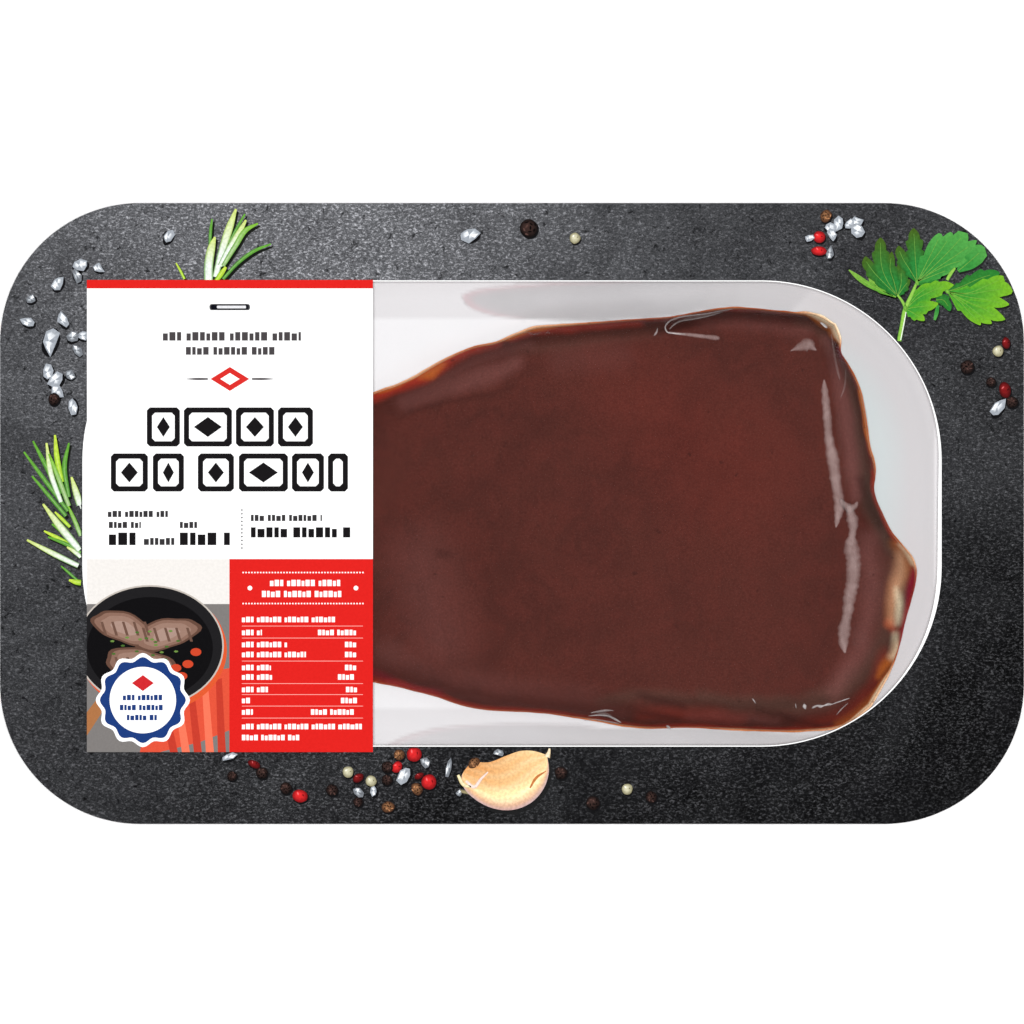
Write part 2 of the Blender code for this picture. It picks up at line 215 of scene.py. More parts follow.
def nearest(x: Field, y: Field, line: Field) -> tuple[Field, Field]:
    """How far places lie from an open line, and the line's other values at the nearest point.

    Args:
        x: Places along the pack.
        y: Places across the pack.
        line: The line's points: x, y and any other values.

    Returns:
        The distances in the shape of x, and the other values in a last axis of their own.
    """
    best = np.full(x.shape, np.inf)
    values = np.zeros((*x.shape, line.shape[1] - 2))
    for start, end in zip(line, line[1:]):
        run = (end - start)[:2]
        t = np.clip(((x - start[0]) * run[0] + (y - start[1]) * run[1]) / max(run @ run, 1e-12), 0, 1)
        gap = np.hypot(x - start[0] - t * run[0], y - start[1] - t * run[1])
        nearer = gap < best
        best = np.where(nearer, gap, best)
        values = np.where(nearer[..., None], start[2:] + t[..., None] * (end - start)[2:], values)
    return best, values


def inside_outline(x: Field, y: Field, outline: Field) -> Field:
    """Whether places lie inside a closed outline.

    Args:
        x: Places along the pack.
        y: Places across the pack.
        outline: The outline's points.

    Returns:
        True inside, in the shape of x.
    """
    found = np.zeros(x.shape, bool)
    for (ax, ay), (bx, by) in zip(outline[:, :2], np.roll(outline, -1, axis=0)[:, :2]):
        if ay != by:
            found ^= ((ay > y) != (by > y)) & (x < ax + (y - ay) / (by - ay) * (bx - ax))
    return found


def field_noise(x: Field, y: Field, size: float, seed: float) -> Field:
    """Smooth noise over the plan.

    Args:
        x: Places along the pack, in metres.
        y: Places across the pack, in metres.
        size: The size of its lumps, in metres.
        seed: Which noise it is.

    Returns:
        Values around -1 to 1, in the shape of x.
    """
    flat = [noise.noise(Vector((a / size, b / size, seed))) for a, b in zip(x.ravel(), y.ravel())]
    return np.array(flat).reshape(x.shape)


def on_sheet(px: float, py: float) -> Point:
    """A place on the pack from its place on the drawing sheet.

    The sheet is 1024 units wide for the pack's 265 mm, with its origin at the upper left.

    Args:
        px: Units from the sheet's left.
        py: Units from the sheet's top.

    Returns:
        Millimetres from the pack's middle.
    """
    return ((px - 512.0) * SHEET_UNIT, (513.5 - py) * SHEET_UNIT)


def sheet_line(points: Sequence[Place]) -> Field:
    """Rows of x, y and half width in millimetres, from the same in sheet units."""
    return np.array([(*on_sheet(px, py), half * SHEET_UNIT) for px, py, half in points])


def eased(share: Field) -> Field:
    """A share kept from 0 to 1, with a gentle start and end."""
    kept = np.clip(share, 0, 1)
    return kept * kept * (3 - 2 * kept)


@dataclass(frozen=True)
class Stroke:
    """A soft-edged brush stroke: sheet x, sheet y and half width, with its softness in millimetres."""

    points: tuple[Place, ...]
    soft: float = 1.0
    strength: float = 1.0

    def mask(self, x: Field, y: Field) -> Field:
        """Where the stroke covers the plan.

        Args:
            x: Places along the pack, in metres.
            y: Places across the pack, in metres.

        Returns:
            Its cover, 0 to its strength, in the shape of x.
        """
        line = sheet_line(self.points) * MM
        if len(line) == 1:
            line = np.repeat(line, 2, axis=0)
        gap, half = nearest(x, y, line)
        return self.strength * eased((half[..., 0] - gap) / (self.soft * MM) + 0.5)


@dataclass(frozen=True)
class Zone:
    """A closed soft-edged area of the sheet that can fade from one sheet x to another."""

    outline: tuple[Point, ...]
    soft: float = 1.0
    strength: float = 1.0
    fade: Point = (2000.0, 2010.0)

    def mask(self, x: Field, y: Field) -> Field:
        """Where the zone covers the plan.

        Args:
            x: Places along the pack, in metres.
            y: Places across the pack, in metres.

        Returns:
            Its cover, 0 to its strength, in the shape of x.
        """
        corners = np.array([on_sheet(px, py) for px, py in self.outline]) * MM
        gap, _ = nearest(x, y, np.concatenate([corners, corners[:1]]))
        signed = np.where(inside_outline(x, y, corners), gap, -gap)
        start, end = (on_sheet(px, 0)[0] * MM for px in self.fade)
        fade = np.clip((end - x) / (end - start), 0, 1)
        return self.strength * eased(signed / (self.soft * MM) + 0.5) * fade


def covered(strokes: Iterable[Stroke | Zone], x: Field, y: Field) -> Field:
    """The greatest cover of several strokes over places in metres."""
    return np.max([stroke.mask(x, y) for stroke in strokes], axis=0)


def seen_at(x: Field, y: Field, z: Field) -> tuple[Field, Field]:
    """Where points below the card show on its plane, seen from the camera.

    Args:
        x: Places along the pack, in metres.
        y: Places across the pack, in metres.
        z: Heights, in metres.

    Returns:
        The places on the card's plane, in metres.
    """
    share = VIEW_DISTANCE / (VIEW_DISTANCE + CARD_TOP - z)
    return x * share, y * share


# Shader building


class Graph:
    """Builds the nodes of one material or node group."""

    def __init__(self, tree: Tree) -> None:
        """Starts on this tree."""
        self.tree = tree

    def add(self, kind: str, **settings: object) -> Node:
        """Adds a node.

        Args:
            kind: The node's type name.
            settings: Its properties.

        Returns:
            The node.
        """
        node = self.tree.nodes.new(kind)
        for name, value in settings.items():
            setattr(node, name, value)
        return node

    def put(self, socket: Socket, source: object) -> None:
        """Links a socket to another, or sets its value."""
        if isinstance(source, Socket):
            self.tree.links.new(source, socket)
        else:
            socket.default_value = source

    def math(self, operation: str, a: object, b: object = 0.0, clamp: bool = False) -> Socket:
        """A Math node.

        Args:
            operation: Its operation.
            a: First value or socket.
            b: Second value or socket.
            clamp: Whether to keep the result from 0 to 1.

        Returns:
            Its output.
        """
        node = self.add("ShaderNodeMath", operation=operation, use_clamp=clamp)
        self.put(node.inputs[0], a)
        self.put(node.inputs[1], b)
        return node.outputs[0]

    def spread(
        self, value: object, low: float, high: float, to_low: float = 0.0, to_high: float = 1.0
    ) -> Socket:
        """A smooth Map Range from one range to another.

        Args:
            value: The value or socket.
            low: Start of the source range.
            high: End of the source range.
            to_low: Result at the start.
            to_high: Result at the end.

        Returns:
            Its output.
        """
        node = self.add("ShaderNodeMapRange", interpolation_type="SMOOTHSTEP")
        self.fill(node, Value=value, From_Min=low, From_Max=high, To_Min=to_low, To_Max=to_high)
        return node.outputs["Result"]

    def blend(self, share: object, a: object, b: object, how: str = "MIX") -> Socket:
        """Mixes two colours.

        Args:
            share: How much of b shows.
            a: The colour or socket below.
            b: The colour or socket above.
            how: The blend type.

        Returns:
            The mixed colour's socket.
        """
        node = self.add("ShaderNodeMix", data_type="RGBA", blend_type=how)
        self.put(node.inputs[0], share)
        self.put(node.inputs[6], a)
        self.put(node.inputs[7], b)
        return node.outputs[2]

    def place(self) -> Socket:
        """Object coordinates, which are metres here."""
        return self.add("ShaderNodeTexCoord").outputs["Object"]

    def noise(
        self, scale: float, detail: float = 3.0, rough: float = 0.55, warp: float = 0.0, where: object = None
    ) -> Socket:
        """Noise over the object.

        Args:
            scale: Lumps in each metre.
            detail: Octaves.
            rough: Weight of the finer octaves.
            warp: Distortion.
            where: Coordinates, or None for the object's own.

        Returns:
            The noise value's socket.
        """
        node = self.add("ShaderNodeTexNoise")
        where = where or self.place()
        self.fill(node, Vector=where, Scale=scale, Detail=detail, Roughness=rough, Distortion=warp)
        return node.outputs["Fac"]

    def stretched(self, x: float, y: float) -> Socket:
        """Object coordinates, scaled along and across the pack."""
        node = self.fill(self.add("ShaderNodeMapping"), Vector=self.place(), Scale=(x, y, 1.0))
        return node.outputs["Vector"]

    def away_from(self, place: Place) -> Socket:
        """The distance from a place on the pack."""
        node = self.add("ShaderNodeVectorMath", operation="DISTANCE")
        self.put(node.inputs[0], self.place())
        self.put(node.inputs[1], place)
        return node.outputs["Value"]

    def attribute(self, name: str, colour: bool = False) -> Socket:
        """A mesh attribute, as a value or as a colour."""
        node = self.add("ShaderNodeAttribute", attribute_name=name)
        return node.outputs["Color" if colour else "Fac"]

    def bump(self, height: object, strength: float, distance: float) -> Socket:
        """A Bump node.

        Args:
            height: The height's socket.
            strength: Its strength.
            distance: Its depth in metres.

        Returns:
            The normal's socket.
        """
        node = self.fill(self.add("ShaderNodeBump"), Height=height, Strength=strength, Distance=distance)
        return node.outputs["Normal"]

    def fill(self, node: Node, **values: object) -> Node:
        """Sets or links a node's inputs.

        Args:
            node: The node.
            values: What each input gets, by its name with _ for a space.

        Returns:
            The node.
        """
        for name, value in values.items():
            self.put(node.inputs[name.replace("_", " ")], value)
        return node

    def group(self, group: Tree, **values: object) -> Node:
        """Places a node group and fills its inputs."""
        return self.fill(self.add("ShaderNodeGroup", node_tree=group), **values)


def new_group(
    name: str, inputs: Sequence[tuple[str, str, object]], outputs: Sequence[tuple[str, str]]
) -> tuple[Tree, Graph, Node, Node]:
    """Starts a shader node group.

    Args:
        name: Its name.
        inputs: Name, socket type and default of each input.
        outputs: Name and socket type of each output.

    Returns:
        The group, its builder, and its input and output nodes.
    """
    tree = bpy.data.node_groups.new(name, "ShaderNodeTree")
    for label, kind, value in inputs:
        socket = tree.interface.new_socket(name=label, in_out="INPUT", socket_type=kind)
        socket.default_value = value
    for label, kind in outputs:
        tree.interface.new_socket(name=label, in_out="OUTPUT", socket_type=kind)
    graph = Graph(tree)
    return tree, graph, graph.add("NodeGroupInput"), graph.add("NodeGroupOutput")


class Effects:
    """Node groups that several finishes share, each built once."""

    def __init__(self) -> None:
        """Builds the groups."""
        self.grain = self._grain()
        self.mottle = self._mottle()

    @staticmethod
    def _grain() -> Tree:
        """Fine grain: a colour lightened and darkened by it, and its height."""
        tree, graph, given, result = new_group(
            "fine_grain",
            (
                ("Color", "NodeSocketColor", (0.5, 0.5, 0.5, 1.0)),
                ("Scale", "NodeSocketFloat", 900.0),
                ("Amount", "NodeSocketFloat", 0.1),
            ),
            (("Color", "NodeSocketColor"), ("Height", "NodeSocketFloat")),
        )
        height = graph.spread(graph.noise(given.outputs["Scale"], 3.0, 0.5), 0.3, 0.7)
        swing = graph.math("MULTIPLY", graph.math("SUBTRACT", height, 0.5), given.outputs["Amount"])
        level = graph.math("ADD", swing, 1.0)
        shade = graph.fill(graph.add("ShaderNodeCombineColor"), Red=level, Green=level, Blue=level)
        colour = graph.blend(1.0, given.outputs["Color"], shade.outputs["Color"], "MULTIPLY")
        graph.fill(result, Color=colour, Height=height)
        return tree

    @staticmethod
    def _mottle() -> Tree:
        """Broad mottling: a warped mask from 0 to 1."""
        tree, graph, given, result = new_group(
            "broad_mottle",
            (
                ("Scale", "NodeSocketFloat", 60.0),
                ("Warp", "NodeSocketFloat", 0.6),
                ("Low", "NodeSocketFloat", 0.35),
                ("High", "NodeSocketFloat", 0.65),
            ),
            (("Mask", "NodeSocketFloat"),),
        )
        texture = graph.noise(given.outputs["Scale"], 4.0, 0.5, given.outputs["Warp"])
        graph.fill(result, Mask=graph.spread(texture, given.outputs["Low"], given.outputs["High"]))
        return tree


def new_material(name: str) -> tuple[Material, Graph, Node]:
    """Starts a material with its Principled shader.

    Args:
        name: The material's name.

    Returns:
        The material, its graph builder and its Principled node.
    """
    made = bpy.data.materials.new(name)
    made.use_nodes = True
    return made, Graph(made.node_tree), made.node_tree.nodes["Principled BSDF"]


@dataclass(frozen=True)
class TrayPlastic:
    """White moulded plastic with a satin gloss, with painted shade and painted highlights: a painted grey
    shade round its foot, darker at its right end, a painted bluish shade towards its right end, and a painted
    highlight near the window's edge and along its right rim.
    """

    colour: Colour = srgb(236, 235, 237)
    # The next four colours are painted light: a bluish painted shade towards the right end, a grey painted
    # shade round the foot, a darker painted shade round the foot at the right end, and a painted highlight.
    painted_cool_shade: Colour = srgb(204, 211, 212)
    foot: Colour = srgb(222, 220, 222)
    painted_right_foot_shade: Colour = srgb(207, 204, 206)
    wall: Colour = srgb(248, 246, 248)
    roughness: float = 0.34

    def build(self, effects: Effects) -> Material:
        """Makes the material.

        Args:
            effects: The shared node groups.

        Returns:
            The material.
        """
        made, graph, shader = new_material("tray_white_plastic")
        split = graph.fill(graph.add("ShaderNodeSeparateXYZ"), Vector=graph.place())
        along_x = split.outputs["X"]
        over = []
        for side, half in ((along_x, WINDOW.length / 2), (split.outputs["Y"], WINDOW.width / 2)):
            past = graph.math("SUBTRACT", graph.math("ABSOLUTE", side), half - WINDOW.corner)
            over.append(graph.math("POWER", graph.math("MAXIMUM", past, 0.0), 2.0))
        out = graph.math("SQRT", graph.math("ADD", *over))
        cloud = graph.group(effects.mottle, Scale=18.0, Warp=0.8, Low=0.3, High=0.7)
        tone = graph.blend(cloud.outputs["Mask"], self.colour, srgb(233, 232, 234))
        # Painted shade: bluish and darker towards the right end.
        tone = graph.blend(graph.spread(along_x, 0.072, 0.088), tone, self.painted_cool_shade)
        # Painted shade round the foot of the hollow, darker at the right end, laid in a band below the
        # window's edge that is wider at the upper left.
        foot = graph.blend(graph.spread(along_x, 0.050, 0.090), self.foot, self.painted_right_foot_shade)
        edge = WINDOW.corner
        upper_left = graph.spread(along_x, 0.080, 0.050)
        inner = graph.math("SUBTRACT", edge - 0.0140, graph.math("MULTIPLY", upper_left, -0.0042))
        width = graph.math("SUBTRACT", 0.0072, graph.math("MULTIPLY", upper_left, 0.0060))
        share = graph.math("DIVIDE", graph.math("SUBTRACT", out, inner), width, clamp=True)
        tone = graph.blend(share, tone, foot)
        # Painted highlight: lighter near the window's edge, and lighter still along the right rim.
        tone = graph.blend(graph.spread(out, edge - 0.0030, edge + 0.0030, 0.0, 0.5), tone, self.wall)
        tone = graph.blend(graph.spread(along_x, 0.1101, 0.1112, 0.0, 0.8), tone, self.wall)
        grain = graph.group(effects.grain, Color=tone, Scale=1600.0, Amount=0.012)
        graph.fill(shader, Base_Color=grain.outputs["Color"])
        rough = graph.spread(grain.outputs["Height"], 0.0, 1.0, self.roughness - 0.04, self.roughness + 0.05)
        graph.fill(shader, Roughness=rough, Normal=graph.bump(grain.outputs["Height"], 0.12, 0.00002))
        return made


@dataclass(frozen=True)
class SlatePrint:
    """The card's dark stone print, with a painted highlight at its upper left."""

    dark: Colour = srgb(9, 9, 10)
    middle: Colour = srgb(70, 71, 74)
    fleck: Colour = srgb(196, 197, 203)
    pit: Colour = srgb(9, 9, 11)
    painted_sheen_at: Place = (-0.052, 0.074, 0.0278)
    paler_at: Place = (-0.055, -0.070, 0.0278)
    roughness: float = 0.42

    def build(self, effects: Effects) -> Material:
        """Makes the material.

        Args:
            effects: The shared node groups.

        Returns:
            The material.
        """
        made, graph, shader = new_material("slate_print")
        split = graph.fill(graph.add("ShaderNodeSeparateXYZ"), Vector=graph.place())
        across = graph.math("MULTIPLY", split.outputs["X"], -2.1)
        down = graph.math("MULTIPLY", split.outputs["Y"], 4.5)
        cloud = graph.math("MULTIPLY", graph.noise(16.0, 5.0, 0.6, 0.5), 0.9)
        slope = graph.math("ADD", graph.math("ADD", across, down), cloud)
        tone = graph.blend(graph.math("ADD", slope, -0.05, clamp=True), self.dark, self.middle)
        # Painted highlight: the print turns paler round a spot at its upper left, and its pale flecks show
        # more there.
        painted_sheen = graph.spread(graph.away_from(self.painted_sheen_at), 0.098, 0.010)
        tone = graph.blend(graph.math("MULTIPLY", painted_sheen, 0.38), tone, srgb(116, 117, 121))
        drawn = graph.stretched(0.6, 1.0)
        fleck = graph.noise(1900.0, 4.0, 0.7, 0.6, drawn)
        patch_low = graph.spread(graph.away_from(self.paler_at), 0.045, 0.015, 0.0, 0.07)
        most = graph.math("ADD", graph.math("MULTIPLY", painted_sheen, 0.68), graph.math("MULTIPLY", slope, 0.12))
        most = graph.math("ADD", most, patch_low)
        most = graph.math("ADD", most, 0.115, clamp=True)
        tone = graph.blend(graph.math("MULTIPLY", graph.spread(fleck, 0.47, 0.72), most), tone, self.fleck)
        pits = graph.noise(560.0, 4.0, 0.65, 0.5)
        tone = graph.blend(graph.math("MULTIPLY", graph.spread(pits, 0.42, 0.30), 0.85), tone, self.pit)
        blotch = graph.group(effects.mottle, Scale=75.0, Warp=0.9, Low=0.38, High=0.72)
        tone = graph.blend(graph.math("MULTIPLY", blotch.outputs["Mask"], 0.30), tone, srgb(22, 22, 25))
        grain = graph.group(effects.grain, Color=tone, Scale=3000.0, Amount=0.75)
        graph.fill(
            shader,
            Base_Color=grain.outputs["Color"],
            Roughness=graph.spread(fleck, 0.3, 0.8, self.roughness, self.roughness + 0.2),
            Specular_IOR_Level=0.3,
            Normal=graph.bump(grain.outputs["Height"], 0.10, 0.00002),
        )
        return made


@dataclass(frozen=True)
class LabelPaper:
    """Smooth white coated paper."""

    colour: Colour = srgb(252, 252, 252)

    def build(self, effects: Effects) -> Material:
        """Makes the material.

        Args:
            effects: The shared node groups.

        Returns:
            The material.
        """
        made, graph, shader = new_material("label_paper")
        fibre = graph.group(effects.grain, Color=self.colour, Scale=2600.0, Amount=0.02)
        graph.fill(
            shader,
            Base_Color=fibre.outputs["Color"],
            Roughness=graph.spread(fibre.outputs["Height"], 0.0, 1.0, 0.44, 0.56),
            Specular_IOR_Level=0.35,
            Normal=graph.bump(fibre.outputs["Height"], 0.15, 0.00002),
        )
        return made


@dataclass(frozen=True)
class PrintedInk:
    """Printing ink whose colour comes from each mesh's own colours."""

    name: str
    grain_scale: float = 1400.0
    grain_amount: float = 0.25
    roughness: float = 0.42

    def build(self, effects: Effects) -> Material:
        """Makes the material.

        Args:
            effects: The shared node groups.

        Returns:
            The material.
        """
        made, graph, shader = new_material(self.name)
        grain = graph.group(
            effects.grain,
            Color=graph.attribute("ink", colour=True),
            Scale=self.grain_scale,
            Amount=self.grain_amount,
        )
        graph.fill(shader, Base_Color=grain.outputs["Color"])
        rough = graph.spread(grain.outputs["Height"], 0.0, 1.0, self.roughness - 0.04, self.roughness + 0.06)
        graph.fill(
            shader,
            Roughness=rough,
            Specular_IOR_Level=0.3,
            Normal=graph.bump(grain.outputs["Height"], 0.08, 0.00002),
        )
        return made


@dataclass(frozen=True)
class StapleWire:
    """Bright drawn steel wire, with a painted highlight along its crown and painted shade down its sides."""

    # Both colours are painted light: a painted highlight for the crown and painted shade for the sides.
    crown: Colour = srgb(240, 240, 244)
    side: Colour = srgb(16, 18, 28)

    def build(self, effects: Effects) -> Material:
        """Makes the material.

        Args:
            effects: The shared node groups.

        Returns:
            The material.
        """
        made, graph, shader = new_material("staple_wire")
        drawn = graph.stretched(0.05, 1.0)
        lines = graph.noise(9000.0, 2.0, 0.5, 0.0, drawn)
        # Painted highlight and shade: the crown attribute lightens the top of the wire.
        tone = graph.blend(graph.spread(graph.attribute("crown"), 0.76, 0.92), self.side, self.crown)
        grain = graph.group(effects.grain, Color=tone, Scale=2500.0, Amount=0.12)
        graph.fill(
            shader,
            Base_Color=grain.outputs["Color"],
            Metallic=0.15,
            Roughness=graph.spread(lines, 0.3, 0.7, 0.22, 0.36),
            Normal=graph.bump(lines, 0.1, 0.00001),
        )
        return made


@dataclass(frozen=True)
class StretchFilm:
    """Clear shrunk film: almost unseen where it clings, hazy where it spans a gap or is creased; the grey
    veil over a gap is partly the film's haze and partly painted shade under the tent.
    """

    film_haze_and_painted_shade: Colour = srgb(176, 173, 175)
    seep: Colour = srgb(224, 176, 182)

    def build(self, effects: Effects) -> Material:
        """Makes the material.

        Args:
            effects: The shared node groups.

        Returns:
            The material.
        """
        made, graph, shader = new_material("stretch_film")
        span, seep = graph.attribute("span"), graph.attribute("seep")
        cloud = graph.group(effects.mottle, Scale=60.0, Warp=0.8, Low=0.3, High=0.75)
        graph.fill(shader, Base_Color=graph.blend(seep, self.film_haze_and_painted_shade, self.seep))
        # The veil over a gap: partly the film's haze, partly painted shade under the tent.
        veil = graph.math("MULTIPLY", span, graph.spread(cloud.outputs["Mask"], 0.0, 1.0, 0.15, 0.17))
        veil = graph.math("MAXIMUM", veil, graph.math("MULTIPLY", seep, 0.15))
        graph.fill(
            shader,
            Alpha=graph.math("ADD", veil, 0.002, clamp=True),
            Roughness=graph.spread(cloud.outputs["Mask"], 0.0, 1.0, 0.14, 0.22),
        )
        ripple = graph.noise(260.0, 2.0, 0.5, 0.4)
        graph.fill(shader, Normal=graph.bump(ripple, 0.1, 0.0001))
        return made


@dataclass(frozen=True)
class PaintedFilmGlare:
    """Painted highlights on the film: pale pink and white streaks of glare and creases."""

    # Both colours are painted highlights.
    painted_glare_pink: Colour = srgb(206, 178, 174)
    white: Colour = srgb(250, 246, 246)

    def build(self, effects: Effects) -> Material:
        """Makes the material.

        Args:
            effects: The shared node groups.

        Returns:
            The material.
        """
        made, graph, shader = new_material("painted_film_glare")
        cloud = graph.group(effects.mottle, Scale=240.0, Warp=0.7, Low=0.3, High=0.72)
        drawn = graph.stretched(1.0, 0.35)
        fine = graph.noise(1500.0, 3.0, 0.6, 0.3, drawn)
        uneven = graph.spread(cloud.outputs["Mask"], 0.0, 1.0, 0.72, 1.08)
        uneven = graph.math("MULTIPLY", uneven, graph.spread(fine, 0.3, 0.7, 0.86, 1.1))
        tone = graph.blend(graph.attribute("white"), self.painted_glare_pink, self.white)
        graph.fill(shader, Base_Color=tone)
        # How much painted highlight covers the film, uneven along each streak.
        cover = graph.math("MULTIPLY", graph.attribute("painted_glare"), uneven)
        fuller = graph.math("MULTIPLY", graph.attribute("white"), 0.24)
        cover = graph.math("MULTIPLY", cover, graph.math("ADD", fuller, 0.33))
        graph.fill(
            shader,
            Alpha=graph.math("MINIMUM", cover, 0.9),
            Roughness=graph.spread(fine, 0.3, 0.7, 0.25, 0.4),
            Normal=graph.bump(fine, 0.1, 0.00003),
        )
        return made


class MeatTone(Enum):
    """The named tones laid over the heart's red-brown, in the order they are laid."""

    GREY = "tone_grey"
    # The pale tone is partly the meat's own paler colour and partly painted sheen: a pale haze for the film's
    # reflection on the right shoulder and at the top right.
    PALE = "tone_pale"
    RED = "tone_red"
    DARK = "tone_dark"
    ORANGE = "tone_orange"
    CREAM = "tone_cream"
    CRIMSON = "tone_crimson"


@dataclass(frozen=True)
class RawHeart:
    """Raw heart muscle, moist under its film, with fat and membranes at its edges."""

    muscle: Colour = srgb(78, 40, 34)
    deep: Colour = srgb(70, 36, 31)
    warm: Colour = srgb(85, 41, 35)

    def tones(self) -> dict[MeatTone, Colour]:
        """The colour of each named tone."""
        return {
            MeatTone.GREY: srgb(80, 58, 50),
            MeatTone.PALE: srgb(112, 69, 65),
            MeatTone.RED: srgb(180, 54, 38),
            MeatTone.DARK: srgb(50, 27, 24),
            MeatTone.ORANGE: srgb(206, 112, 46),
            MeatTone.CREAM: srgb(254, 236, 200),
            MeatTone.CRIMSON: srgb(160, 16, 56),
        }

    def build(self, effects: Effects) -> Material:
        """Makes the material.

        Args:
            effects: The shared node groups.

        Returns:
            The material.
        """
        made, graph, shader = new_material("raw_heart")
        broad = graph.group(effects.mottle, Scale=26.0, Warp=1.2, Low=0.32, High=0.68)
        small = graph.group(effects.mottle, Scale=150.0, Warp=0.8, Low=0.35, High=0.7)
        tone = graph.blend(broad.outputs["Mask"], self.deep, self.muscle)
        tone = graph.blend(graph.math("MULTIPLY", small.outputs["Mask"], 0.5), tone, self.warm)
        drawn = graph.stretched(1.0, 0.3)
        strands = graph.noise(520.0, 4.0, 0.65, 0.4, drawn)
        tone = graph.blend(graph.spread(strands, 0.52, 0.74, 0.0, 0.3), tone, self.warm)
        tone = graph.blend(graph.spread(strands, 0.46, 0.28, 0.0, 0.4), tone, self.deep)
        torn = graph.noise(700.0, 3.0, 0.6)
        for kind, colour in self.tones().items():
            mask = graph.attribute(kind.value)
            ragged = graph.math("ADD", mask, graph.math("MULTIPLY", graph.math("SUBTRACT", torn, 0.5), 0.25))
            kept = graph.math("MULTIPLY", graph.spread(ragged, 0.08, 0.95), graph.math("MINIMUM", mask, 1.0))
            share = graph.math("MAXIMUM", kept, graph.math("MULTIPLY", mask, 0.85), clamp=True)
            tone = graph.blend(share, tone, colour)
        grain = graph.group(effects.grain, Color=tone, Scale=2100.0, Amount=0.24)
        fleck = graph.math("MULTIPLY", graph.spread(graph.noise(420.0, 2.0, 0.5), 0.70, 0.78), 0.5)
        tone = graph.blend(fleck, grain.outputs["Color"], self.tones()[MeatTone.DARK])
        graph.fill(
            shader,
            Base_Color=tone,
            Roughness=graph.spread(small.outputs["Mask"], 0.0, 1.0, 0.42, 0.58),
            IOR=1.3,
            Specular_IOR_Level=0.06,
            Coat_Weight=0.12,
            Coat_Roughness=0.12,
            Coat_IOR=1.35,
        )
        height = graph.math("ADD", graph.noise(330.0, 3.0, 0.55), graph.math("MULTIPLY", torn, 0.25))
        graph.fill(shader, Normal=graph.bump(height, 0.18, 0.0002))
        return made


# Meshes


def mesh_piece(
    name: str,
    points: Sequence[Sequence[float]],
    faces: Sequence[Sequence[int]],
    finish: Material,
    smooth: float | None = None,
) -> Piece:
    """A mesh object of these points and faces, with its normals outwards.

    Args:
        name: The piece's name.
        points: Its points, in metres.
        faces: Its faces, as point indices.
        finish: Its material.
        smooth: The angle in degrees over which an edge stays sharp, or None for flat faces.

    Returns:
        The object.
    """
    mesh = bpy.data.meshes.new(name)
    mesh.from_pydata([tuple(map(float, p)) for p in points], [], [tuple(map(int, f)) for f in faces])
    work = bmesh.new()
    work.from_mesh(mesh)
    bmesh.ops.recalc_face_normals(work, faces=work.faces)
    work.to_mesh(mesh)
    work.free()
    mesh.materials.append(finish)
    if smooth is not None:
        mesh.shade_smooth()
        mesh.set_sharp_from_angle(angle=math.radians(smooth))
    made = bpy.data.objects.new(name, mesh)
    bpy.context.scene.collection.objects.link(made)
    return made


def write_attribute(piece: Piece, name: str, values: Field) -> None:
    """Stores one value for each vertex.

    Args:
        piece: The mesh object.
        name: The attribute's name.
        values: The values in vertex order.
    """
    attribute = piece.data.attributes.new(name, "FLOAT", "POINT")
    attribute.data.foreach_set("value", np.asarray(values, np.float32).ravel())


def loft(rings: Sequence[Sequence[Place]]) -> tuple[list, list]:
    """Points and faces of a tube through rings of equal count, its two ends open.

    Args:
        rings: The rings, in order.

    Returns:
        The points and the faces.
    """
    count = len(rings[0])
    points = [point for ring in rings for point in ring]
    faces = []
    for level in range(len(rings) - 1):
        for i in range(count):
            j = (i + 1) % count
            base = level * count
            faces.append((base + i, base + j, base + count + j, base + count + i))
    return points, faces


def closed_loft(rings: Sequence[Sequence[Place]]) -> tuple[list, list]:
    """Points and faces of a tube that closes on its own first ring."""
    points, faces = loft([*rings, rings[0]])
    total = len(points) - len(rings[0])
    return points[:total], [tuple(i % total for i in face) for face in faces]


def quads(rows: int, columns: int, base: int = 0) -> list[tuple[int, ...]]:
    """Faces over a grid of points.

    Args:
        rows: The grid's rows.
        columns: The points in each.
        base: Its first point's index.

    Returns:
        The faces, as point indices.
    """
    starts = [base + row * columns + i for row in range(rows - 1) for i in range(columns - 1)]
    return [(a, a + columns, a + columns + 1, a + 1) for a in starts]


def thicken(piece: Piece, thickness: float, offset: float = 0.0) -> None:
    """Gives an open sheet a thickness, to both sides or inwards."""
    shell = piece.modifiers.new("thickness", "SOLIDIFY")
    shell.thickness = thickness
    shell.offset = offset
    shell.use_even_offset = offset < 0


def stand_for(piece: Piece, node: str) -> None:
    """The piece rides on the pack and replaces a solid, which it hides."""
    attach(piece, BODY)
    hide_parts(node)


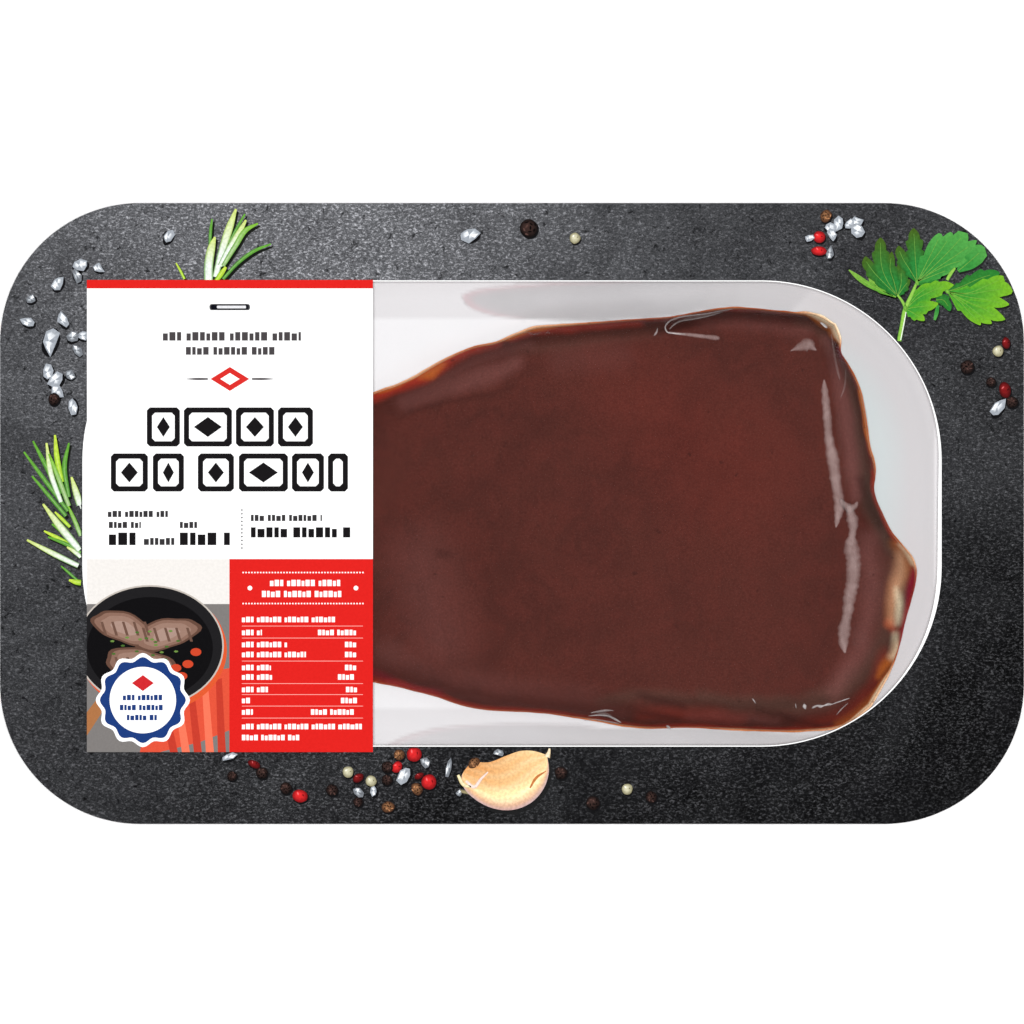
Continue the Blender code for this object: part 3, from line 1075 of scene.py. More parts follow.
@dataclass
class Tray:
    """The white tray: flange, turned lip and rounded hollow."""

    wall: float = 0.0009
    height: float = 0.0270
    draft: float = 0.0040
    floor_radius: float = 0.0085
    lip_drop: float = 0.0026
    corner_steps: int = 28
    round_steps: int = 12
    edge_radius: float = 0.0009

    def surface(self, x: Field, y: Field, off_wall: float = 0.0) -> Field:
        """Height of the hollow's surface, or of that surface with its wall moved in.

        Args:
            x: Places along the pack.
            y: Places across the pack.
            off_wall: How far the wall moves in.

        Returns:
            The heights in metres.
        """
        inset = MOUTH.depth(x, y) - off_wall
        foot = self.floor_radius - np.clip(inset - self.draft, 0, self.floor_radius)
        rounded = self.wall + self.floor_radius - np.sqrt(self.floor_radius**2 - foot**2)
        wall_foot = self.wall + self.floor_radius
        drafted = self.height - (self.height - wall_foot) * np.clip(inset, 0, self.draft) / self.draft
        return np.where(inset < self.draft, drafted, rounded)

    def sections(self) -> list[tuple[RoundedPlan, float]]:
        """The plan and height of each ring, from the lip's free edge over the flange into the floor."""
        rim = PACK.inset(self.wall)
        found = [(rim, self.height - self.lip_drop), (rim, self.height - self.edge_radius)]
        for step in range(1, 5):
            turn = math.pi / 2 * step / 4
            drawn = self.edge_radius * (1 - math.cos(turn))
            found.append((rim.inset(drawn), self.height - self.edge_radius * (1 - math.sin(turn))))
        for step in range(5):
            turn = math.pi / 2 * step / 4
            drawn = -self.edge_radius * (1 - math.sin(turn))
            found.append((MOUTH.inset(drawn + 0.0002), self.height - self.edge_radius * (1 - math.cos(turn))))
        for step in range(self.round_steps + 1):
            turn = math.pi / 2 * step / self.round_steps
            inset = self.draft + self.floor_radius * (1 - math.cos(turn))
            found.append((MOUTH.inset(inset), self.wall + self.floor_radius * (1 - math.sin(turn))))
        return found

    def build(self, finish: Material) -> Piece:
        """Makes the tray.

        Args:
            finish: Its material.

        Returns:
            The tray.
        """
        sections = self.sections()
        rings = [[(x, y, height) for x, y in plan.ring(self.corner_steps)] for plan, height in sections]
        inner = sections[-1][0]
        for share in (0.75, 0.5, 0.25):
            plan = RoundedPlan(inner.length * share, inner.width * share, inner.corner * share)
            rings.append([(x, y, self.wall) for x, y in plan.ring(self.corner_steps)])
        points, faces = loft(rings)
        last = len(points) - len(rings[-1])
        faces.append(tuple(range(last, len(points))))
        tray = mesh_piece("tray_shell", points, faces, finish, 35)
        if tray.data.polygons[-1].normal.z < 0:
            tray.data.flip_normals()
        thicken(tray, self.wall, -1.0)
        stand_for(tray, "tray")
        return tray


# The heart's edge, from above, left to right and back to front: x and y in millimetres, how far in
# from the edge its top is level, and how much pale fringe and how much bright red the edge shows
BACK_EDGE = (
    (-73.0, 6.9, 12.0, 0.3, 0.6), (-61.3, 14.9, 12.0, 0.5, 0.7), (-48.4, 23.2, 12.0, 0.6, 0.8),
    (-35.5, 31.2, 11.0, 0.7, 1.0), (-30.3, 33.0, 10.5, 0.9, 1.0), (-25.1, 35.3, 10.0, 1.0, 1.0),
    (-19.9, 38.4, 9.5, 0.9, 1.0), (-14.8, 41.0, 8.5, 0.7, 0.9), (-9.6, 43.1, 8.0, 0.6, 0.6),
    (-4.4, 44.1, 7.5, 0.7, 0.5), (0.8, 46.2, 6.5, 1.0, 0.5), (6.0, 48.0, 6.0, 1.0, 0.5),
    (11.1, 48.5, 6.0, 0.9, 0.6), (21.5, 49.3, 5.5, 0.6, 0.8), (31.8, 50.1, 5.5, 0.4, 0.7),
    (42.2, 50.9, 5.0, 0.4, 0.6), (47.4, 51.9, 5.0, 0.4, 0.6), (52.5, 52.7, 5.0, 0.5, 0.7),
    (58.0, 53.2, 5.0, 0.6, 0.8), (62.9, 52.9, 5.0, 0.4, 0.6), (68.1, 52.4, 5.0, 0.4, 0.5),
    (73.2, 51.9, 5.0, 0.6, 0.3), (78.4, 51.4, 5.0, 1.4, 0.0), (83.4, 48.8, 5.5, 1.6, 0.0),
)
RIGHT_EDGE = (
    (83.4, 48.8, 5.5, 1.6, 0.0), (84.6, 45.6, 6.0, 1.5, 0.0), (85.0, 42.0, 6.0, 0.2, 0.2),
    (87.0, 38.4, 7.0, 0.4, 0.4), (89.5, 33.4, 8.0, 0.6, 0.5), (91.6, 23.5, 9.0, 0.6, 0.6),
    (92.6, 17.0, 9.5, 0.6, 0.7), (93.8, 12.4, 10.0, 0.6, 0.6), (93.9, 9.3, 10.0, 0.2, 1.0),
    (93.6, 6.9, 10.0, 0.1, 1.0), (94.2, 3.8, 10.3, 0.1, 0.9), (95.6, 0.5, 11.0, 0.2, 0.9),
    (98.5, -5.3, 12.0, 0.3, 1.0), (101.0, -8.4, 13.0, 0.7, 0.5), (103.4, -11.6, 15.0, 1.0, 0.2),
    (104.4, -14.9, 16.0, 0.8, 0.2), (104.2, -18.6, 16.0, 0.2, 0.6), (103.3, -22.3, 16.0, 0.1, 0.9),
    (101.6, -28.3, 15.5, 0.1, 0.9), (100.4, -33.4, 15.0, 0.2, 0.7), (99.0, -37.7, 14.0, 0.5, 0.2),
    (97.4, -41.2, 13.0, 1.0, 0.0), (95.8, -44.1, 12.0, 1.2, 0.0), (92.6, -49.6, 11.0, 1.25, 0.3),
)
FRONT_EDGE = (
    (-71.7, -28.1, 12.0, 0.2, 1.0), (-60.0, -34.8, 11.0, 0.2, 1.2), (-47.1, -40.0, 9.5, 0.3, 1.5),
    (-35.5, -43.6, 9.0, 0.3, 2.0), (-30.3, -44.6, 8.8, 0.3, 2.0), (-25.1, -45.9, 8.5, 0.3, 1.7),
    (-19.9, -47.2, 8.5, 0.3, 1.4), (-14.8, -49.0, 8.5, 0.3, 1.2), (-9.6, -50.3, 8.5, 0.3, 1.0),
    (-4.4, -50.9, 8.5, 0.3, 1.0), (0.8, -51.1, 8.5, 0.3, 0.9), (11.1, -51.9, 8.5, 0.3, 0.9),
    (16.3, -52.7, 8.5, 0.5, 0.8), (21.5, -53.4, 8.5, 0.6, 0.7), (26.7, -54.5, 8.5, 0.6, 0.8),
    (31.8, -55.2, 8.5, 0.6, 0.8), (47.4, -55.3, 9.0, 0.3, 0.9), (57.7, -55.8, 9.0, 0.7, 0.7),
    (62.9, -56.0, 9.0, 0.6, 0.8), (75.8, -56.1, 9.5, 0.7, 0.9), (85.9, -54.6, 10.0, 1.0, 0.7),
    (92.6, -49.6, 11.0, 1.25, 0.3),
)
LEFT_EDGE = (
    (-73.0, 6.9, 12.0, 0.3, 0.6), (-81.8, -1.7, 12.0, 0.3, 0.6), (-84.4, -11.0, 12.0, 0.4, 0.6),
    (-80.8, -19.8, 12.0, 0.3, 0.8), (-71.7, -28.1, 12.0, 0.2, 1.0),
)

# Dark specks on the meat: sheet x, sheet y, half width, softness and strength
DARK_SPECKS = (
    (470, 526, 1.2, 0.6, 0.8), (495, 523, 1.4, 0.6, 0.8), (509, 563, 1.4, 0.6, 0.8),
    (527, 573, 1.2, 0.6, 0.7), (657, 532, 1.6, 0.8, 0.7), (675, 625, 1.4, 0.7, 0.7),
    (512, 389, 1.6, 0.7, 0.7), (502, 414, 1.3, 0.6, 0.7),
)

# Where each tone is brushed over the heart
HEART_TONES = {
    MeatTone.GREY: (
        Stroke(((700, 698, 5), (760, 705, 7), (800, 706, 8), (840, 692, 10), (868, 668, 10), (884, 640, 9),
                (890, 610, 6)), 4, 0.75),
        Stroke(((846, 372, 3), (853, 403, 6), (858, 441, 7), (861, 472, 8), (866, 490, 9), (874, 512, 9),
                (883, 533, 8), (889, 552, 5)), 3.5, 0.95),
        Stroke(((889, 548, 6), (886, 580, 7), (882, 620, 7)), 5, 0.45),
        Stroke(((515, 350, 5), (560, 343, 7), (620, 335, 7), (660, 330, 4)), 4, 0.35),
        Stroke(((798, 322, 3), (815, 326, 5), (826, 336, 5), (832, 352, 4)), 3, 0.6),
        Stroke(((600, 702, 4), (640, 694, 6), (690, 700, 6)), 3, 0.55),
    ),
    MeatTone.PALE: (
        Stroke(((405, 402, 8), (440, 388, 10), (480, 376, 11), (515, 362, 8)), 4, 0.6),
        Stroke(((440, 380, 5), (470, 364, 6), (500, 352, 6), (530, 345, 4)), 4, 0.55),
        Stroke(((400, 682, 5), (450, 694, 7), (500, 705, 7), (560, 711, 7), (620, 715, 6)), 5, 0.35),
        Stroke(((560, 360, 12), (620, 356, 12)), 7, 0.2),
        # Painted sheen: these two strokes lay a pale haze for the film's reflection down the right shoulder.
        Stroke(((828, 340, 4), (838, 372, 6), (848, 420, 8), (853, 460, 8), (856, 495, 7)), 3, 0.85),
        Stroke(((870, 540, 9), (872, 590, 9), (862, 650, 9), (835, 690, 8)), 6, 0.75),
        Stroke(((420, 560, 26), (440, 640, 26)), 18, 0.35),
        Stroke(((390, 655, 14), (430, 675, 12), (500, 690, 10), (590, 700, 8)), 8, 0.35),
        # Painted sheen: a pale haze for the film's reflection near the top right.
        Stroke(((700, 320, 5), (760, 322, 7), (805, 330, 7)), 5, 0.35),
        Stroke(((690, 716, 4), (740, 719, 5), (775, 722, 4)), 3, 0.35),
    ),
    MeatTone.RED: (
        Stroke(((374, 396, 5), (390, 389, 5), (404, 385, 5), (420, 377, 7), (436, 368, 7), (452, 358, 5),
                (470, 349, 4), (497, 343, 3)), 2.6, 0.85),
        Stroke(((512, 338, 3), (535, 330, 4), (570, 327, 4), (610, 325, 3), (642, 322, 2)), 2.2, 0.7),
        Stroke(((640, 716, 5), (690, 715, 7), (740, 721, 5)), 4, 0.16),
        Stroke(((890, 622, 5), (898, 632, 4)), 2.5, 0.5),
        Stroke(((872, 470, 2.5), (875, 484, 2)), 1, 0.6),
        Stroke(((885, 655, 5), (872, 690, 5), (846, 716, 5), (800, 726, 3)), 4, 0.3),
        Stroke(((640, 400, 40), (730, 470, 60)), 30, 0.06),
    ),
    MeatTone.DARK: (
        Stroke(((440, 552, 4), (446, 554, 4)), 2.5, 0.55),
        *(Stroke(((px, py, half),), soft, strength) for px, py, half, soft, strength in DARK_SPECKS),
        Stroke(((410, 412, 1.5), (440, 404, 2), (480, 397, 2), (514, 387, 1.5)), 1.8, 0.45),
        Stroke(((640, 695, 3), (660, 702, 4), (684, 707, 3)), 2.5, 0.65),
        Stroke(((640, 712, 1.5), (660, 717, 2), (680, 720, 1.5)), 1.5, 0.45),
        Stroke(((758, 711, 2), (788, 718, 3), (818, 725, 2)), 2, 0.6),
        # Partly the meat's darker tone and partly painted shade: this stroke darkens the right slope where it
        # falls away.
        Stroke(((860, 480, 4), (868, 500, 5), (880, 525, 4)), 3, 0.55),
        Stroke(((660, 331, 2), (680, 328, 3), (700, 324, 2)), 1.5, 0.5),
        # Partly the meat's darker tone and partly painted shade: a broad darkening of the right slope.
        Stroke(((850, 560, 22), (845, 620, 22)), 14, 0.15),
        Stroke(((836, 347, 2), (840, 357, 1.8)), 1.6, 0.9),
    ),
    MeatTone.ORANGE: (
        Stroke(((860, 392, 1.5), (866, 425, 1.8), (871, 455, 1.6)), 0.8, 0.9),
        Stroke(((895, 545, 2), (902, 553, 6), (905, 563, 8), (902, 576, 7), (896, 588, 5), (893, 600, 4),
                (891, 612, 3.5), (891, 622, 3)), 4.5, 0.62),
        Stroke(((897, 646, 4), (891, 658, 4), (884, 668, 3.5), (879, 676, 2)), 2.4, 0.8),
        Stroke(((420, 377, 2), (431, 373, 5), (442, 364, 2.5)), 2.2, 0.8),
        Stroke(((380, 391, 1.2), (400, 385, 1.2)), 1.0, 0.8),
        Stroke(((508, 339, 1.5), (518, 334, 2.5), (530, 330, 2.5), (555, 327, 1.6)), 1.0, 0.9),
        Stroke(((884, 685, 2), (871, 701, 3), (855, 715, 3), (838, 725, 3)), 3, 0.6),
    ),
    MeatTone.CREAM: (
        Stroke(((897, 588, 0.8), (898, 596, 2.4), (899, 606, 3.2), (899, 616, 2.8), (898, 623, 1)), 4, 1.0),
        Stroke(((897, 636, 1.2), (896, 646, 2.8), (892, 655, 1.6)), 3.4, 1.0),
        Stroke(((901, 556, 3), (900, 575, 4), (897, 600, 6), (896, 618, 5)), 5, 0.3),
        Stroke(((900, 546, 1), (907, 552, 2.2), (912, 562, 1.8)), 2.4, 0.8),
    ),
    MeatTone.CRIMSON: (
        Stroke(((912, 571, 2.6), (911.5, 582, 4), (908, 600, 2.2), (904, 618, 1.6),
                (901, 645, 1.0)), 2.2, 0.8),
        Stroke(((839, 349, 1.5), (842, 358, 1.5)), 1.6, 0.5),
        Stroke(((373, 672, 4), (400, 684, 3), (440, 694, 2)), 2.2, 0.3),
    ),
}


# The lip's section: share of its width out, drop in millimetres and how pale it is
LIP_SECTION = (
    (-0.9, 0.2, 0.0), (0.0, 0.05, 0.25), (0.45, 0.12, 0.8), (0.85, 0.3, 1.0),
    (1.0, 0.5, 1.0), (0.8, 0.75, 1.0), (0.0, 0.9, 0.4), (-0.9, 0.7, 0.0),
)


@dataclass
class HeartSlab:
    """The slab of heart: a moist upper skin over rounded shoulders, with fat at its broad end."""

    tray: Tray
    broad_height: float = 0.0180
    point_height: float = 0.0125
    equator_share: float = 0.5
    underside_round: float = 0.0060
    edge_spread: float = 1.0077
    clearance: float = 0.0003
    columns: int = 220
    rows: int = 140

    def plan(self) -> tuple[Field, Field]:
        """The plan as a grid, and its outline in order.

        Returns:
            The grid by column, row and value, and the outline's rows. Both hold x, y and width of
            slope in metres, then the fringe and the red of the edge.
        """
        even_u = np.linspace(0, 1, self.columns + 1)
        even_v = np.linspace(0, 1, self.rows + 1)
        u = 0.45 * even_u + 0.55 * (1 - np.cos(math.pi * even_u)) / 2
        v = 0.45 * even_v + 0.55 * (1 - np.cos(math.pi * even_v)) / 2
        back, front = smooth_along(BACK_EDGE, u), smooth_along(FRONT_EDGE, u)
        left, right = smooth_along(LEFT_EDGE, v), smooth_along(RIGHT_EDGE, v)
        scale = np.array([MM * self.edge_spread, MM * self.edge_spread, MM, 1.0, 1.0])
        grid = patch(back, front, left, right, u, v) * scale
        outline = np.concatenate([back[:-1], right[:-1], front[:0:-1], left[:0:-1]]) * scale
        return grid, outline

    def heights(self, x: Field, y: Field, gap: Field, slope: Field) -> tuple[Field, Field]:
        """The upper and lower skin's heights.

        Args:
            x: Places along the pack.
            y: Places across the pack.
            gap: Distance in from the edge.
            slope: How far in the top is level.

        Returns:
            The upper and the lower heights.
        """
        thickness = self.point_height + (self.broad_height - self.point_height) * eased((x + 0.080) / 0.110)
        floor = self.tray.wall + self.clearance
        equator = self.equator_share * thickness
        rest = 1 - np.clip(gap / slope, 0, 1)
        upper = floor + equator + (thickness - equator) * (1 - rest**1.8) ** 0.9
        under = 1 - np.clip(gap / self.underside_round, 0, 1)
        lower = floor + equator * (1 - np.sqrt(1 - under**2))
        lower = np.maximum(lower, self.tray.surface(x, y) + 0.6 * self.clearance)
        return np.maximum(upper, lower), lower

    def relief(self, x: Field, y: Field, gap: Field) -> Field:
        """Low relief of the upper skin: broad swells, the fold at its front, the fat at its end."""
        inward = np.clip(gap / 0.010, 0, 1)
        broad = 0.0009 * field_noise(x, y, 0.026, 0.3)
        small = 0.00016 * field_noise(x, y, 0.0045, 7.7)
        fold = covered((Stroke(((640, 700, 5), (700, 707, 5), (770, 712, 6), (830, 704, 6)), 4),), x, y)
        lump = covered((Stroke(((903, 560, 9), (899, 600, 9), (896, 640, 7)), 5),), x, y)
        return inward * (broad + small) - 0.0008 * fold + 0.0011 * lump * np.clip(gap / 0.002, 0, 1)

    def top(self, x: Field, y: Field) -> Field:
        """The upper skin's height over the plan, and 0 away from the heart."""
        outline = self.plan()[1][::4]
        gap, values = nearest(x, y, np.vstack([outline, outline[:1]]))
        upper, _ = self.heights(x, y, gap, values[..., 0])
        upper = upper + self.relief(x, y, gap)
        return np.where(inside_outline(x, y, outline), upper, 0.0)

    def build(self, finish: Material) -> Piece:
        """Makes the slab.

        Args:
            finish: Its material.

        Returns:
            The slab.
        """
        grid, outline = self.plan()
        columns, rows = grid.shape[:2]
        x, y = grid[:, :, 0], grid[:, :, 1]
        gap, values = nearest(x, y, np.vstack([outline[::2], outline[:1]]))
        upper, lower = self.heights(x, y, gap, values[..., 0])
        upper = np.maximum(upper + self.relief(x, y, gap), lower)
        edge = np.zeros((columns, rows), bool)
        edge[[0, -1], :] = True
        edge[:, [0, -1]] = True
        under_index = np.arange(columns * rows).reshape(columns, rows)
        under_index[~edge] = columns * rows + np.arange((~edge).sum())
        points = np.column_stack([x.ravel(), y.ravel(), upper.ravel()])
        inner = np.column_stack([x[~edge], y[~edge], lower[~edge]])
        faces = []
        for a, b, c, d in quads(columns, rows):
            faces += [(a, d, c, b), [under_index.flat[i] for i in (b, c, d, a)]]
        slab = mesh_piece("heart_slab", np.concatenate([points, inner]), faces, finish, 70)
        self._tone(slab, *seen_at(x, y, upper), gap, values, edge)
        stand_for(slab, "heart")
        return slab

    def build_lip(self, finish: Material) -> Piece:
        """Makes the thin lip of fat and membrane that lies just outside the slab's edge.

        Args:
            finish: Its material.

        Returns:
            The lip.
        """
        outline = self.plan()[1]
        outward = sideways(np.roll(outline, -1, axis=0)[:, :2] - np.roll(outline, 1, axis=0)[:, :2])
        ragged = 1 + 0.35 * field_noise(outline[:, 0], outline[:, 1], 0.0025, 4.2)
        width = (0.00006 + 0.00044 * np.clip(outline[:, 3], 0, 1.2)) * ragged
        upper, lower = self.heights(outline[:, 0], outline[:, 1], np.zeros(len(outline)), outline[:, 2])
        rings, cream, orange, red, crimson = [], [], [], [], []
        magenta = covered(HEART_TONES[MeatTone.CRIMSON], *seen_at(outline[:, 0], outline[:, 1], upper))
        for out, drop, pale in LIP_SECTION:
            place = outline[:, :2] + outward * (width * out)[:, None]
            height = np.maximum(upper - drop * MM, lower + 0.00005 + (0.0 if drop < 0.7 else 0.00002))
            rings.append([tuple(row) for row in np.column_stack([place, height])])
            cream += list(np.clip((outline[:, 3] - 0.5) * 0.9, 0, 1) * pale * (1 - magenta))
            orange += list(np.clip(outline[:, 3] * 1.4, 0, 0.9) * pale * (1 - magenta))
            crimson += list(magenta)
            red += list(np.clip(1 - outline[:, 3], 0.2, 1) * (1 - pale * 0.5))
        lip = mesh_piece("fat_lip", *closed_loft(rings), finish, 60)
        kinds = (MeatTone.CREAM, MeatTone.ORANGE, MeatTone.RED, MeatTone.CRIMSON)
        for kind, values in zip(kinds, (cream, orange, red, crimson)):
            write_attribute(lip, kind.value, np.array(values))
        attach(lip, BODY)
        return lip

    def _tone(self, slab: Piece, x: Field, y: Field, gap: Field, values: Field, edge: Field) -> None:
        """Writes where each tone shows.

        Args:
            slab: The slab's object.
            x: Places along the pack, over the grid.
            y: Places across the pack, over the grid.
            gap: Distance in from the edge.
            values: Slope, fringe and red of the nearest edge.
            edge: Which grid points are on the edge.
        """
        wander_x = x + 0.0007 * field_noise(x, y, 0.006, 2.1)
        wander_y = y + 0.0007 * field_noise(x, y, 0.006, 5.9)
        fringe, red = values[..., 1], values[..., 2]
        cream = 0.08 + 2.0 * np.clip(fringe - 0.95, 0, 1)
        orange = cream + 0.1 + 0.35 * fringe**2
        reach = gap / MM * (1 + 0.25 * field_noise(x, y, 0.004, 9.4))
        fringes = {
            MeatTone.RED: np.clip(1.15 - reach / (0.6 + 0.6 * red), 0, 1) * np.clip(red, 0, 1) * 0.85,
            MeatTone.ORANGE: np.clip(1.2 - reach / orange, 0, 1) * np.clip(fringe, 0, 1),
            MeatTone.CREAM: np.clip(1.2 - reach / cream, 0, 1) * np.clip(fringe, 0, 1),
        }
        for kind, strokes in HEART_TONES.items():
            mask = np.maximum(covered(strokes, wander_x, wander_y), fringes.get(kind, 0.0))
            below = mask[~edge] * (0.6 if kind in (MeatTone.CREAM, MeatTone.ORANGE) else 0.3)
            write_attribute(slab, kind.value, np.concatenate([mask.ravel(), below]))


@dataclass(frozen=True)
class DrawnSheet:
    """The film's heights on an even grid over the plan."""

    xs: Field
    ys: Field
    heights: Field

    def height(self, x: Field, y: Field) -> Field:
        """The film's height at these places.

        Args:
            x: Places along the pack.
            y: Places across the pack.

        Returns:
            The heights.
        """
        a = np.clip((x - self.xs[0]) / (self.xs[1] - self.xs[0]), 0, len(self.xs) - 1.001)
        b = np.clip((y - self.ys[0]) / (self.ys[1] - self.ys[0]), 0, len(self.ys) - 1.001)
        i, j = np.asarray(a).astype(int), np.asarray(b).astype(int)
        s, t = a - i, b - j
        return (
            (1 - s) * (1 - t) * self.heights[i, j]
            + s * (1 - t) * self.heights[i + 1, j]
            + (1 - s) * t * self.heights[i, j + 1]
            + s * t * self.heights[i + 1, j + 1]
        )

    def under(self, x: float, y: float) -> Place:
        """The film's point that the camera sees at a place on the card's plane."""
        z = self.height(x, y)
        for _ in range(2):
            spread = (VIEW_DISTANCE + CARD_TOP - z) / VIEW_DISTANCE
            z = self.height(x * spread, y * spread)
        return x * spread, y * spread, float(z)


# Where the film stands off the tray as a tent, hazy and greyed with painted shade
FILM_TENTS = (
    Zone(((462, 298), (465, 293.5), (473, 291), (486, 288.5), (502, 287), (529, 284.5), (561, 282),
          (620, 279), (700, 278), (800, 278), (812, 290), (790, 312), (740, 306), (700, 312), (672, 318),
          (644, 322), (600, 321), (560, 320.5), (523, 319), (506, 317), (490, 315), (477, 311), (466, 305)),
         0.7, fade=(640, 850)),
    Zone(((388, 749), (400, 741), (412, 736), (424, 732), (436, 729), (461, 726), (510, 724), (549, 724),
          (579, 725), (598, 729), (640, 728), (700, 728), (760, 732), (840, 738), (850, 752), (388, 752)),
         0.7, 0.6, fade=(760, 900)),
)


# Pinkish moisture drawn up along the edges of the tents
FILM_SEEPS = (
    Stroke(((640, 281, 1.0), (600, 282, 1.3), (561, 283.5, 1.5), (529, 285.5, 1.8), (502, 288, 1.8),
            (478, 291, 2.2), (465, 297, 3.0), (474, 307, 2.8), (490, 313, 2.0), (508, 316.5, 1.4),
            (524, 318.5, 1.0)), 1.1, 0.9),
    Stroke(((516, 284, 1.5), (560, 281, 1.8), (640, 279, 1.4)), 1.0, 0.5),
    Stroke(((388, 748, 3), (400, 741, 2.6), (412, 736, 2.4), (436, 729.5, 1.8), (461, 726.5, 1.3),
            (510, 724.5, 1.2), (579, 725.5, 1.0), (600, 729, 0.8)), 1.0, 0.75),
)


@dataclass
class ClingFilm:
    """The clear film: held at the tray's mouth and drawn down onto the heart and the tray."""

    tray: Tray
    heart: HeartSlab
    grid: float = 0.00075
    passes: int = 2600
    pull: float = 0.00008
    clearance: float = 0.00035
    off_wall: float = 0.0006
    below_rim: float = 0.0003
    edge_inset: float = 0.0007
    thickness: float = 0.00006
    held_width: float = 0.0008
    first_rise: float = 0.0040
    columns: int = 300
    rows: int = 170

    def draw_down(self) -> DrawnSheet:
        """Draws the film down onto the heart and the tray, as a stretched sheet under pressure.

        Returns:
            The film's heights over the plan.
        """
        xs = np.arange(-MOUTH.length / 2 - 2 * self.grid, MOUTH.length / 2 + 3 * self.grid, self.grid)
        ys = np.arange(-MOUTH.width / 2 - 2 * self.grid, MOUTH.width / 2 + 3 * self.grid, self.grid)
        x, y = np.meshgrid(xs, ys, indexing="ij")
        heart = self.heart.top(x, y)
        for shift in ((1, 0), (-1, 0), (0, 1), (0, -1)):
            heart = np.maximum(heart, np.roll(heart, shift, axis=(0, 1)))
        under = np.maximum(self.tray.surface(x, y, self.off_wall), heart) + self.clearance
        rim = self.tray.height - self.below_rim
        held = MOUTH.depth(x, y) <= self.held_width
        film = np.where(held, rim, np.minimum(under + self.first_rise, rim))
        for _ in range(self.passes):
            around = film.copy()
            around[1:-1, 1:-1] = (film[2:, 1:-1] + film[:-2, 1:-1] + film[1:-1, 2:] + film[1:-1, :-2]) / 4
            film = np.where(held, rim, np.minimum(np.maximum(around - self.pull, under), rim))
        return DrawnSheet(xs, ys, film)

    def plan(self) -> Field:
        """A grid that fills the mouth, cornered at the middle of each round corner."""
        steps = 24
        ring = np.array(MOUTH.inset(self.edge_inset).ring(2 * steps))
        quarter = len(ring) // 4
        ring = np.concatenate([ring[steps:], ring[: steps + 1]])
        back, left, front, right = [ring[quarter * k : quarter * (k + 1) + 1] for k in range(4)]
        u = np.linspace(0, 1, self.columns + 1)
        v = np.linspace(0, 1, self.rows + 1)
        return patch(along(back[::-1], u), along(front, u), along(left, v), along(right[::-1], v), u, v)

    def build(self, drawn: DrawnSheet, finish: Material) -> Piece:
        """Makes the film.

        Args:
            drawn: The film's heights.
            finish: Its material.

        Returns:
            The film.
        """
        grid = self.plan()
        columns, rows = grid.shape[:2]
        x, y = grid[:, :, 0], grid[:, :, 1]
        z = drawn.height(x, y)
        points = np.column_stack([x.ravel(), y.ravel(), z.ravel()])
        sheet = mesh_piece("cling_film", points, quads(columns, rows), finish, 70)
        outline = self.heart.plan()[1][::4]
        off_heart, _ = nearest(x, y, np.vstack([outline, outline[:1]]))
        away = np.where(inside_outline(x, y, outline), 0.0, np.clip(off_heart / 0.0006, 0, 1))
        seen_x, seen_y = seen_at(x, y, z)
        write_attribute(sheet, "span", covered(FILM_TENTS, seen_x, seen_y) * away)
        write_attribute(sheet, "seep", covered(FILM_SEEPS, seen_x, seen_y) * away)
        thicken(sheet, self.thickness)
        stand_for(sheet, "film")
        return sheet


@dataclass(frozen=True)
class PaintedGlareMark:
    """A painted highlight on the film, a streak of glare or a crease: sheet x, sheet y and half width along
    its middle.
    """

    points: tuple[Place, ...]
    painted_glare: float = 0.8
    white: float = 0.0
    rise: float = 0.0
    edge: float = 0.7
    ragged: float = 0.25
